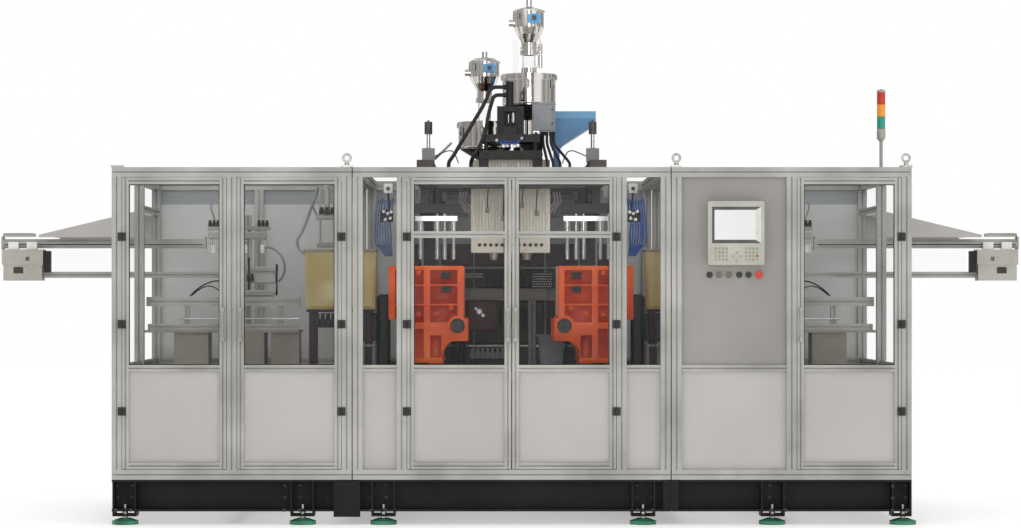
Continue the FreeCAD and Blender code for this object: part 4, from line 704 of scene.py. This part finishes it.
# ---- middle bay: what stands behind the clamps, the head's ribs and screws ----
middle = {"backDepth": 1.940, "frontDepth": 1.913,
          "rows": ((0.36, 0.70), (0.71, 1.035), (1.053, 1.345), (1.425, 1.555), (1.57, 1.72)),
          "columns": ((0.020, 0.232), (0.242, 0.455), (0.585, 0.690)), "studRadius": 0.0042, "ribGap": 0.020,
          "plugs": ((-0.160, 1.900), (-0.060, 1.850), (0.060, 1.930), (0.150, 1.880)),
          "pipes": ((0.300, 1.300), (0.325, 1.265), (0.350, 1.230), (0.375, 1.195))}


def taperPiece(name, low, high, edge, keep, panels=()):
    # a block whose lower face is drawn in
    piece = boxPiece(name, low, high, edge, panels)
    tidySelection()
    piece.select_set(True)
    bpy.context.view_layer.objects.active = piece
    bpy.ops.object.mode_set(mode="EDIT")
    floor = low[2] + (high[2] - low[2]) * 0.3
    choose(piece, "VERT", lambda vert: vert.co.z < floor)
    bpy.ops.transform.resize(value=keep)
    bpy.ops.object.mode_set(mode="OBJECT")
    return piece


def rodPiece(name, start, end, radius, sides=20):
    # a bar with chamfered ends and a collar at each
    start, end = Vector(start), Vector(end)
    long = (end - start).length
    return turnPiece(name, start, [(radius * 0.8, 0), (radius, radius * 0.3), (radius, radius * 2),
                                   (radius * 1.35, radius * 2),
                                   (radius * 1.35, radius * 4), (radius, radius * 4), (radius, long - radius * 4),
                                   (radius * 1.35, long - radius * 4), (radius * 1.35, long - radius * 2),
                                   (radius, long - radius * 2), (radius, long - radius * 0.3), (radius * 0.8, long)],
                     sides, (end - start).normalized())


def valveBank(name, low, width, depth, height, count):
    # a row of valves, each with its coil and test screw
    step = width / count
    body = boxPiece(name + "Body", (low[0], low[1], low[2]),
                    (low[0] + step * 0.86, low[1] + depth, low[2] + height * 0.62), 0.0012,
                    [((0, -1, 0), step * 0.14, 0.0015)])
    coil = boxPiece(name + "Coil", (low[0] + step * 0.08, low[1] + depth * 0.12, low[2] + height * 0.62),
                    (low[0] + step * 0.78, low[1] + depth * 0.88,
                     low[2] + height), 0.0015, [((0, 0, 1), step * 0.12, 0.001)])
    screw = boltPiece(name + "Screw", (low[0] + step * 0.43, low[1] + 0.0005, low[2] + height * 0.30), step * 0.13,
                      step * 0.14,
                      (0, -1, 0), 8)
    bank = gather([body, coil, screw], name)
    return repeat(bank, [(step * index, 0, 0) for index in range(count)])


def buildMiddle():
    back, front = deep(middle["backDepth"]), deep(middle["frontDepth"])
    plates = [boxPiece("plate", (x0, back, z0), (x1, back + 0.010, z1), 0.002, faced(0.012, 0.003))
              for x0, x1 in middle["columns"] for z0, z1 in middle["rows"]]
    fitBoth(gather(plates, "BackPlates"), "brownIron")
    screw = boltPiece("BackPlateScrews", (0, back + 0.0005, 0), 0.005, 0.006, (0, -1, 0), 12)
    spots = [(x + u, 0, z + v) for x0, x1 in middle["columns"] for z0, z1 in middle["rows"]
             for x, u in ((x0, 0.006), (x1, -0.006)) for z, v in ((z0, 0.006), (z1, -0.006))]
    fitBoth(repeat(screw, spots), "hingeBlack")
    beam = boxPiece("TopBeam", (0.275, front, 1.892), (0.690, front + 0.022, 2.030), 0.002, faced(0.014, 0.004))
    fitBoth(beam, "greyTube")
    bar = boxPiece("centreBar", (-0.272, front, 1.356), (0.245, front + 0.026, 1.417), 0.0025, faced(0.009, 0.002))
    fit(bar, "benchBeige")
    cover = boxPiece("centreCover", (-0.276, front + 0.002, 1.140), (-0.073, front + 0.026, 1.350), 0.002,
                     faced(0.010, 0.004))
    fit(cover, "redIron")
    fit(valveBank("centreValves", (-0.060, front + 0.001, 1.180), 0.180, 0.025, 0.120, 7), "driveBlack")
    fit(valveBank("upperValves", (-0.150, front, 1.440), 0.240, 0.026, 0.100, 8), "driveBlack")
    fit(valveBank("lowerValves", (-0.260, front, 0.960), 0.300, 0.026, 0.070, 9), "greyTube")
    sieve = boxPiece("ventPlate", (0.142, front, 1.424), (0.292, front + 0.006, 1.531), 0.0012, faced(0.004, 0.001))
    fit(sieve, "sealBlack")
    stud = turnPiece("ventStuds", (0, front + 0.0012, 0), [(middle["studRadius"], 0), (middle["studRadius"], 0.0014),
                                                          (middle["studRadius"] * 0.7, 0.0022)], 12, (0, -1, 0))
    spots = [(0.155 + 0.0165 * column + 0.008 * (row % 2), 0, 1.438 + 0.0165 * row) for row in range(6)
             for column in range(8)]
    spots += [(-0.292 + 0.0135 * column, 0, z) for column in range(9) for z in (1.502, 1.519)]
    fit(repeat(stud, spots), "nylonWhite")
    strip = boxPiece("studStrip", (-0.302, front, 1.492), (-0.172, front + 0.006, 1.529), 0.0012, faced(0.004, 0.001))
    fit(strip, "sealBlack")
    fit(rodPiece("centreRail", (-0.285, front + 0.012, 1.044), (0.285, front + 0.012, 1.044), 0.0042), "groundSteel")
    union = [boltPiece("unionHead", (-0.200, front + 0.003, 1.272), 0.014, 0.016, (0, -1, 0), 6),
             boltPiece("unionSmall", (-0.176, front + 0.003, 1.246), 0.009, 0.012, (0, -1, 0), 6),
             boltPiece("unionTop", (-0.222, front + 0.003, 1.290), 0.008, 0.010, (0, -1, 0), 6)]
    fit(gather(union, "hoseUnions"), "zincSteel")
    chute = taperPiece("scrapChute", (0.186, front, 0.720), (0.368, front + 0.026, 1.112), 0.003, (0.62, 1, 1),
                       faced(0.012, 0.003))
    rim = boxPiece("chuteRim", (0.178, front - 0.002, 1.104), (0.376, front + 0.026, 1.120), 0.002,
                   faced(0.003, -0.001))
    fit(gather([chute, rim], "scrapChute"), "greyTube")
    uprights = [boxPiece("upright", (x, front, 0.40), (x + 0.012, front + 0.024, 1.350), 0.0015, faced(0.003, 0.0015))
                for x in (0.128, 0.156)]
    fit(gather(uprights, "centreUprights"), "greyTube")
    pipes = [tubePiece("pipe", [(x, front + 0.012, 0.42), (x, front + 0.012, z - 0.05), (x, front + 0.012, z),
                                (x + 0.05, front + 0.012, z), (0.44, front + 0.012, z)], 0.0085)
             for x, z in middle["pipes"]]
    fitBoth(gather(pipes, "OilPipes"), "hoseRubber")
    # head: screws across the die ring and ribs down the guard
    ring = firstHit(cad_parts["die_head"], (0.12, -1.0, 1.697), (0, 1, 0))
    screw = boltPiece("dieScrews", (0, ring.y + 0.0005, 1.697), 0.0082, 0.009, (0, -1, 0), 16)
    fit(repeat(screw, [(-0.196 + 0.0357 * index, 0, 0) for index in range(12)]), "hingeBlack")
    low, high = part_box("head_guard")
    rib = boxPiece("guardRibs", (-0.0035, low.y - 0.0035, 1.765), (0.0035, low.y + 0.001, high.z - 0.015), 0.0015,
                   faced(0.001, 0.0006))
    count = int((high.x - 0.02) / middle["ribGap"])
    fit(repeat(rib, [(middle["ribGap"] * index, 0, 0) for index in range(-count, count + 1)]), "guardSheet")
    heater = [boxPiece("plug", (x, low.y - 0.020, z), (x + 0.026, low.y + 0.001, z + 0.034), 0.003,
                       faced(0.006, 0.002)) for x, z in middle["plugs"]]
    fit(gather(heater, "heaterPlugs"), "benchBeige")
    wires = [tubePiece("wire", [(x + 0.013, low.y - 0.010, z + 0.030), (x + 0.013, low.y - 0.012, z + 0.08),
                                (x + 0.018, low.y - 0.008, 2.02), (x + 0.020, low.y - 0.006, 2.09)], 0.003)
             for x, z in middle["plugs"]]
    fit(gather(wires, "heaterWires"), "hingeBlack")
    # air lines dropping from the roof beside the head
    lines = [tubePiece("line", [(x, deep(d), 2.095), (x - 0.012, deep(d), 2.04), (x + 0.004, deep(d), 1.99),
                                (x - 0.03, deep(d), 1.955), (x - 0.045, deep(d), 1.915)], 0.0052)
             for x, d in ((0.292, 1.50), (0.312, 1.52), (0.330, 1.48))]
    fitBoth(gather(lines, "AirLines"), "nylonWhite")
    fitBoth(valveBank("RoofValves", (0.420, deep(1.600), 1.900), 0.170, 0.045, 0.095, 5), "driveBlack")
    hanger = boxPiece("ValveHanger", (0.415, deep(1.640), 1.885), (0.595, deep(1.652), 2.080), 0.002,
                      faced(0.010, 0.002))
    fitBoth(hanger, "greyTube")


buildMiddle()
print("middle bay done")


# ---- side bays: collecting boxes, air gear, gripper rails ----
sideBay = {"boxX": (0.842, 1.292), "boxZ": (1.287, 1.662), "boxDepth": (0.800, 1.000), "railZ": 1.806,
           "railDepth": 1.462,
           "hangerX": 1.748, "liftX": (1.128, 1.216), "jaws": ((1.578, 1.726), (1.880, 1.958)),
           "rodX": (1.590, 1.606, 1.708, 1.720, 1.900, 1.925, 1.948)}


def buildSideBays():
    x0, x1 = sideBay["boxX"]
    z0, z1 = sideBay["boxZ"]
    y0, y1 = deep(sideBay["boxDepth"][0]), deep(sideBay["boxDepth"][1])
    tank = taperPiece("CollectingBox", (x0, y0, z0), (x1, y1, z1), 0.006, (0.97, 0.94, 1), [((0, -1, 0), 0.016, 0.003),
                                                                                          ((0, 0, 1), 0.020, 0.008)])
    fitBoth(tank, "amberSheet")
    rim = [boxPiece("rim", (x0 - 0.004, y, z1 - 0.012), (x1 + 0.004, y + 0.010, z1 + 0.004), 0.0015,
                    faced(0.004, -0.001))
           for y in (y0 - 0.006, y1 - 0.004)]
    rim += [boxPiece("rimEnd", (x, y0 - 0.006, z1 - 0.012), (x + 0.010, y1 + 0.006, z1 + 0.004), 0.0015,
                     [((1, 0, 0), 0.004, -0.001)]) for x in (x0 - 0.004, x1 - 0.006)]
    fitBoth(gather(rim, "BoxRim"), "benchBeige")
    legs = [boxPiece("leg", (x, y, 0.272), (x + 0.022, y + 0.022, z0 + 0.002), 0.002, faced(0.005, 0.003))
            for x in (x0 + 0.04, x1 - 0.062) for y in (y0 + 0.02, y1 - 0.042)]
    legs += [boxPiece("tray", (x0 + 0.01, y0 + 0.005, z0 - 0.012), (x1 - 0.01, y1 - 0.005, z0 + 0.001), 0.002,
                      faced(0.003, 0.001))]
    fitBoth(gather(legs, "BoxStand"), "brownIron")
    oilBlock = boxPiece("OilBlock", (x0 + 0.004, y0 + 0.03, 1.090), (x0 + 0.150, y1 - 0.02, z0 - 0.020), 0.004,
                        faced(0.014, 0.005))
    fitBoth(oilBlock, "navyPaint")
    lowerTank = boxPiece("LowerTank", (x0 + 0.006, y0 + 0.02, 0.560), (x0 + 0.170, y1 - 0.01, 1.074), 0.005,
                         faced(0.016, 0.004))
    fitBoth(lowerTank, "greyTube")
    trunk = boxPiece("CableTrunk", (0.772, deep(1.020), 0.300), (0.836, deep(1.060), 1.385), 0.003,
                     faced(0.010, 0.003))
    fitBoth(trunk, "driveBlack")
    fitBoth(valveBank("BoxValves", (x0 + 0.190, y0 + 0.01, 1.175), 0.200, 0.060, 0.090, 6), "driveBlack")
    # blue air lines with their fittings, and the regulator above
    lines = [tubePiece("line", [(0.748 + 0.016 * index, deep(1.13 + 0.012 * (index % 3)), 1.995 - 0.012 * (index % 2)),
                                (0.752 + 0.017 * index, deep(1.10), 1.930), (0.770 + 0.015 * index, deep(1.09), 1.850),
                                (0.758 + 0.018 * index, deep(1.09), 1.760 - 0.01 * index),
                                (0.762 + 0.012 * index, deep(1.10), 1.690),
                                (0.755 + 0.006 * index, deep(1.11), 1.628)], 0.0062)
             for index in range(7)]
    near, far = fitBoth(gather(lines, "BlueLines"), "blueTube")
    # the left copy of the blue lines takes the blue with painted glass-reflection haze
    fit(far, "glareHazedBlueTube")
    nut = boltPiece("LineNuts", (0, deep(1.075), 0), 0.0085, 0.014, (0, -1, 0), 6)
    fitBoth(repeat(nut, [(0.758, 0, 1.908), (0.781, 0, 1.899), (0.806, 0, 1.911), (0.764, 0, 1.868),
                         (0.795, 0, 1.860)]),
            "zincSteel")
    manifold = boxPiece("AirManifold", (0.746, deep(1.076), 1.845), (0.828, deep(1.100), 1.920), 0.003,
                        faced(0.005, 0.002))
    fitBoth(manifold, "driveBlack")
    case = boxPiece("RegulatorCase", (0.746, deep(0.960), 2.024), (0.802, deep(1.010), 2.084), 0.003,
                    faced(0.006, 0.001))
    fitBoth(case, "nylonWhite")
    knob = turnPiece("RegulatorKnob", (0.774, deep(0.9615), 2.052),
                     [(0.011, 0), (0.012, 0.002), (0.012, 0.010), (0.010, 0.013),
                                                                   (0.006, 0.013)], 24, (0, -1, 0))
    stem = tubePiece("RegulatorTube", [(0.774, deep(0.985), 2.026), (0.774, deep(1.0), 1.990),
                                       (0.768, deep(1.05), 1.960),
                                       (0.772, deep(1.08), 1.918)], 0.0055)
    fitBoth(gather([knob, stem], "RegulatorKnob"), "buttonBlack")
    # lift cylinder above the box, with its plate and guide rods
    barrelLine = [(0.020, 0), (0.024, 0.002), (0.024, 0.016), (0.019, 0.018), (0.019, 0.170), (0.024, 0.172),
                  (0.024, 0.186), (0.020, 0.190)]
    barrel = turnPiece("LiftCylinder", (1.172, deep(1.200), 1.895), barrelLine, 32)
    rods = [rodPiece("guide", (x, deep(1.200), 1.690), (x, deep(1.200), 2.090), 0.007) for x in sideBay["liftX"]]
    fitBoth(gather([barrel] + rods, "LiftCylinder"), "anodised")
    plate = boxPiece("LiftPlate", (1.102, deep(1.165), 1.866), (1.244, deep(1.235), 1.893), 0.003, faced(0.006, 0.002))
    low = boxPiece("lowPlate", (1.110, deep(1.175), 1.690), (1.236, deep(1.225), 1.712), 0.003, faced(0.005, 0.002))
    fitBoth(gather([plate, low], "LiftPlate"), "anodised")
    fitBoth(valveBank("LiftValves", (1.118, deep(1.150), 1.896), 0.108, 0.030, 0.045, 3), "driveBlack")
    hose = [tubePiece("hose", [(1.225, deep(1.25), 2.092), (1.245, deep(1.25), 2.03), (1.290, deep(1.25), 1.900),
                               (1.340, deep(1.24), 1.770), (1.372, deep(1.22), 1.730), (1.345, deep(1.18), 1.650),
                               (1.290, deep(1.10), 1.640)], 0.0095),
            tubePiece("hose", [(1.270, deep(1.25), 1.960), (1.255, deep(1.25), 1.905), (1.225, deep(1.24), 1.880)],
                      0.008)]
    fitBoth(gather(hose, "GreyHoses"), "greyTube")
    # gripper rail with valves, fittings and rods
    y = deep(sideBay["railDepth"])
    z = sideBay["railZ"]
    rail = boxPiece("GripperRail", (1.552, y, z), (1.962, y + 0.022, z + 0.017), 0.002, faced(0.004, 0.0015))
    x = sideBay["hangerX"]
    hanger = boxPiece("hanger", (x, y + 0.004, z + 0.015), (x + 0.018, y + 0.020, 2.092), 0.002, faced(0.004, 0.002))
    plates = [boxPiece("jaw", (a, y - 0.004, z - 0.058), (b, y + 0.026, z - 0.024), 0.002, faced(0.006, 0.002))
              for a, b in sideBay["jaws"]]
    fitBoth(gather([rail, hanger] + plates, "GripperRail"), "anodised")
    rods = [rodPiece("rod", (x, y + 0.010, z - 0.150), (x, y + 0.010, z + 0.002), 0.005)
            for x in sideBay["rodX"]]
    fitBoth(gather(rods, "GripperRods"), "groundSteel")
    banks = gather([valveBank("bank", (x, y - 0.006, z + 0.020), 0.076, 0.030, 0.040, 3) for x in (1.566, 1.884)],
                   "GripperValves")
    fitBoth(banks, "driveBlack")
    blocks = [boxPiece("block", (x, y - 0.002, 1.652), (x + w, y + 0.022, 1.706), 0.004, faced(0.004, 0.002))
              for x, w in ((1.594, 0.024), (1.703, 0.018), (1.910, 0.032))]
    fitBoth(gather(blocks, "NylonBlocks"), "nylonWhite")
    hose = [tubePiece("hose", [(1.594, y + 0.01, 1.690), (1.550, y, 1.694), (1.480, y - 0.01, 1.640),
                               (1.455, y - 0.01, 1.560),
                               (1.475, y - 0.01, 1.487), (1.500, y - 0.01, 1.470)], 0.0078),
            tubePiece("hose", [(1.935, y + 0.01, 1.985), (1.945, y + 0.01, 1.950), (1.925, y + 0.01, 1.900),
                               (1.915, y + 0.01, 1.862)], 0.006)]
    fitBoth(gather(hose, "GripperHoses"), "greyTube")
    stand = [boxPiece("bar", (1.500, deep(1.40), 1.536), (1.716, deep(1.424), 1.556), 0.002, faced(0.005, 0.002)),
             boxPiece("sheet", (1.512, deep(1.405), 1.456), (1.700, deep(1.412), 1.530), 0.0015, faced(0.008, 0.002)),
             boxPiece("shelf", (1.516, deep(1.30), 1.378), (1.708, deep(1.36), 1.404), 0.002, faced(0.006, 0.002))]
    fitBoth(gather(stand, "TestStand"), "anodised")
    posts = [rodPiece("post", (1.688, deep(1.39), 1.378), (1.688, deep(1.39), 1.626), 0.006),
             rodPiece("post", (1.508, deep(1.39), 1.378), (1.508, deep(1.39), 1.582), 0.006),
             valveBank("bank", (1.655, deep(1.375), 1.470), 0.050, 0.020, 0.046, 2)]
    fitBoth(gather(posts, "StandPosts"), "driveBlack")
    cable = [tubePiece("cable", [(1.740, deep(1.32), 1.400), (1.790, deep(1.33), 1.452), (1.870, deep(1.34), 1.476),
                                 (1.950, deep(1.34), 1.462), (2.030, deep(1.33), 1.410), (2.060, deep(1.32),
                                                                                          1.374)], 0.005),
             tubePiece("cable", [(1.840, deep(1.34), 1.378), (1.900, deep(1.34), 1.440), (1.990, deep(1.34), 1.436),
                                 (2.050, deep(1.34), 1.378)], 0.004)]
    fitBoth(gather(cable, "TableCables"), "hoseRubber")
    fitBoth(rodPiece("GuideRod", (1.335, deep(1.135), 1.229), (2.100, deep(1.135), 1.229), 0.0045), "groundSteel")


buildSideBays()
print("side bays done")


# ---- roof: slabs, ram, jacks and the box ----
roof = {"lockHeights": (2.460, 2.548), "glandPitch": 0.030, "pinX": (-0.014, 0.016), "jackX": 0.520,
        "slabX": (-0.205, -0.150, -0.095, 0.085, 0.140, 0.195), "slabZ": (2.262, 2.232), "slabScrew": 0.0062,
        "blockX": (-0.060, 0.060), "blockZ": (2.440, 2.500, 2.560), "blockScrew": 0.0052,
        "unions": ((-0.045, 2.318), (-0.022, 2.322), (0.022, 2.318), (0.044, 2.320), (-0.088, 2.352), (0.070, 2.366)),
        "jackCable": ((0.498, -0.10, 2.250), (0.470, -0.105, 2.262), (0.430, -0.105, 2.280), (0.390, -0.100, 2.296),
                      (0.352, -0.090, 2.286), (0.330, -0.06, 2.215))}


def buildRoof():
    low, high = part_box("junction_box")
    door = boxPiece("junctionDoor", (low.x + 0.006, low.y - 0.004, 2.414),
                    (high.x - 0.006, low.y + 0.001, high.z - 0.006), 0.002,
                    faced(0.008, 0.0015))
    fit(door, "boxGrey")
    lock = turnPiece("junctionLocks", (high.x - 0.020, low.y - 0.0025, 0),
                     [(0.007, 0), (0.007, 0.002), (0.006, 0.003), (0.003, 0.003),
                                                                         (0.0028, 0.001)], 20, (0, -1, 0))
    fit(repeat(lock, [(0, 0, height) for height in roof["lockHeights"]]), "bezelDark")
    gland = turnPiece("junctionGlands", (0, low.y + 0.040, 2.386),
                      [(0.010, 0), (0.012, 0.003), (0.012, 0.012), (0.010, 0.014),
                                                                  (0.010, 0.022)], 6)
    fit(repeat(gland, [(low.x + 0.030 + roof["glandPitch"] * index, 0, 0) for index in range(4)]), "sealBlack")
    loop = [tubePiece("loop", [(-0.088, -0.215, 2.352), (-0.070, -0.240, 2.338), (-0.030, -0.255, 2.328),
                               (0.020, -0.255, 2.328),
                               (0.055, -0.242, 2.340), (0.070, -0.215, 2.368)], 0.0042),
            tubePiece("loop", [(-0.078, -0.210, 2.368), (-0.060, -0.232, 2.352), (-0.020, -0.246, 2.340),
                               (0.030, -0.240, 2.344),
                               (0.060, -0.210, 2.352)], 0.0036)]
    fit(gather(loop, "ramAirLoop"), "blueTube")
    fittings = [boltPiece("fitting", (x, -0.214, z), 0.0095, 0.020, (0, -1, 0), 6)
                for x, z in roof["unions"]]
    fit(gather(fittings, "ramFittings"), "zincSteel")
    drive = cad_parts["extruder_drive"]
    for part in ("slab", "block"):
        name, radius = part + "Screws", roof[part + "Screw"]
        spots = [(x, z) for x in roof[part + "X"] for z in roof[part + "Z"]]
        heads = []
        for x, z in spots:
            hit = firstHit(drive, (x, -1.0, z), (0, 1, 0))
            if hit is not None and hit.y < 0.05:
                heads.append(boltPiece("head", (x, hit.y + 0.0005, z), radius, radius * 1.1, (0, -1, 0), 14))
        if heads:
            fit(gather(heads, name), "sealBlack")
    pins = []
    for x in roof["pinX"]:
        hit = firstHit(drive, (x, -1.0, 2.494), (0, 1, 0))
        if hit is not None:
            pins.append(rodPiece("pin", (x, hit.y - 0.010, 2.462), (x, hit.y - 0.010, 2.528), 0.0075))
    fit(gather(pins, "ramPins"), "groundSteel")
    for side, sign in (("left", -1), ("right", 1)):
        nut = turnPiece(side + "JackCap", (sign * roof["jackX"], -0.090, 2.300),
                        [(0.024, 0), (0.026, 0.002), (0.026, 0.008), (0.018, 0.012),
                                                                      (0.016, 0.012)], 6)
        route = [(sign * x, y, z) for x, y, z in roof["jackCable"]]
        cableTop = tubePiece(side + "JackCable", route, 0.0035)
        fit(nut, "boxGrey")
        fit(cableTop, "sealBlack")


buildRoof()
print("roof done")


# ---- doors: hinge screws and window seals ----
hinges = {"heights": (0.682, 1.204, 1.726), "screwOffset": 0.0135, "screwRadius": 0.0034, "sealWidth": 0.0045}


def buildDoorParts():
    postScrews = []
    for door in doorNames:
        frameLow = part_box(door + "_frame")[0]
        hardwareLow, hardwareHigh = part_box(door + "_hardware")
        atLeft = hardwareLow.x < frameLow.x
        axis = hardwareLow.x if atLeft else hardwareHigh.x
        inward = 1 if atLeft else -1
        screws = []
        for height in hinges["heights"]:
            for rise in (-hinges["screwOffset"], hinges["screwOffset"]):
                for node, keep, x in ((door + "_hardware", screws, axis + inward * 0.0165),
                                      ("post_hinges", postScrews, axis - inward * 0.0100)):
                    hit = firstHit(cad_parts[node], (x, frontY - 1, height + rise), (0, 1, 0))
                    if hit is not None:
                        keep.append(boltPiece("screw", (x, hit.y + 0.0003, height + rise), hinges["screwRadius"],
                                              hinges["screwRadius"] * 0.8, (0, -1, 0), 10))
        if screws:
            fit(gather(screws, door + "_screws"), "sealBlack", door)
        low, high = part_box(door + "_window")
        wide, y = hinges["sealWidth"], low.y
        strips = [boxPiece("seal", (low.x + 0.007, y - 0.003, z), (high.x - 0.007, y + 0.0005, z + wide), 0.0008,
                           faced(0.0012, 0.0006)) for z in (low.z + 0.007, high.z - 0.007 - wide)]
        strips += [boxPiece("seal", (x, y - 0.003, low.z + 0.007), (x + wide, y + 0.0005, high.z - 0.007), 0.0008,
                            faced(0.0012, 0.0006)) for x in (low.x + 0.007, high.x - 0.007 - wide)]
        fit(gather(strips, door + "_seal"), "sealBlack", door)
    if postScrews:
        fit(gather(postScrews, "hingePostScrews"), "sealBlack")


buildDoorParts()
print("door parts done")


# ---- side arms and the base's plates ----
edges = {"driveX": (3.045, 3.100, 3.155, 3.210, 3.265), "driveRows": (0.020, 0.090, 0.150), "vents": 6,
         "ventPitch": 0.007,
         "feetX": (-2.33, -1.32, -0.80, 0.80, 1.60, 2.33), "boltSpread": (-0.045, 0.045), "boltRows": (0.088, 0.160,
                                                                                                       0.232)}


def buildEdges():
    low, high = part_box("right_transfer_arm")
    lid = boxPiece("ArmLid", (high.x - 0.215, low.y + 0.004, high.z - 0.0005),
                   (high.x - 0.010, high.y - 0.004, high.z + 0.019), 0.003,
                   [((0, 0, 1), 0.008, 0.002), ((0, -1, 0), 0.004, 0.001)])
    fitBoth(lid, "drivePlate", "right_arm")
    stripe = boxPiece("ArmScale", (low.x + 0.020, low.y - 0.0006, low.z + 0.026),
                      (high.x - 0.020, low.y + 0.0004, low.z + 0.033), 0.0002,
                      faced(0.001, 0.0002))
    fitBoth(stripe, "sealBlack", "right_arm")
    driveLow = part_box("transfer_drives")[0]
    heads = []
    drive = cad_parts["transfer_drives"]
    for x in edges["driveX"]:
        for z in (driveLow.z + row for row in edges["driveRows"]):
            hit = firstHit(drive, (x, -1.5, z), (0, 1, 0))
            if hit is not None:
                heads.append(boltPiece("head", (x, hit.y + 0.0003, z), 0.0042, 0.0042, (0, -1, 0), 12))
    if heads:
        fitBoth(gather(heads, "DriveScrews"), "zincSteel")
    vents = []
    for index in range(edges["vents"]):
        rise = edges["ventPitch"] * index
        hit = firstHit(drive, (3.180, -1.5, driveLow.z + 0.050 + rise), (0, 1, 0))
        if hit is not None:
            vents.append(boxPiece("vent", (3.150, hit.y - 0.0015, driveLow.z + 0.048 + rise),
                                  (3.215, hit.y + 0.0005, driveLow.z + 0.0515 + rise), 0.0006, faced(0.0008, 0.0004)))
    if vents:
        fitBoth(gather(vents, "DriveVents"), "sealBlack")
    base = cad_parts["base_frames"]
    heads = []
    for x in edges["feetX"]:
        for u in edges["boltSpread"]:
            for z in edges["boltRows"]:
                hit = firstHit(base, (x + u, -2.0, z), (0, 1, 0))
                if hit is not None and hit.y < -0.9:
                    heads.append(boltPiece("head", (x + u, hit.y + 0.0005, z), 0.0085, 0.009, (0, -1, 0), 6))
    if heads:
        fit(gather(heads, "baseScrews"), "sealBlack")


buildEdges()
print("edges done")
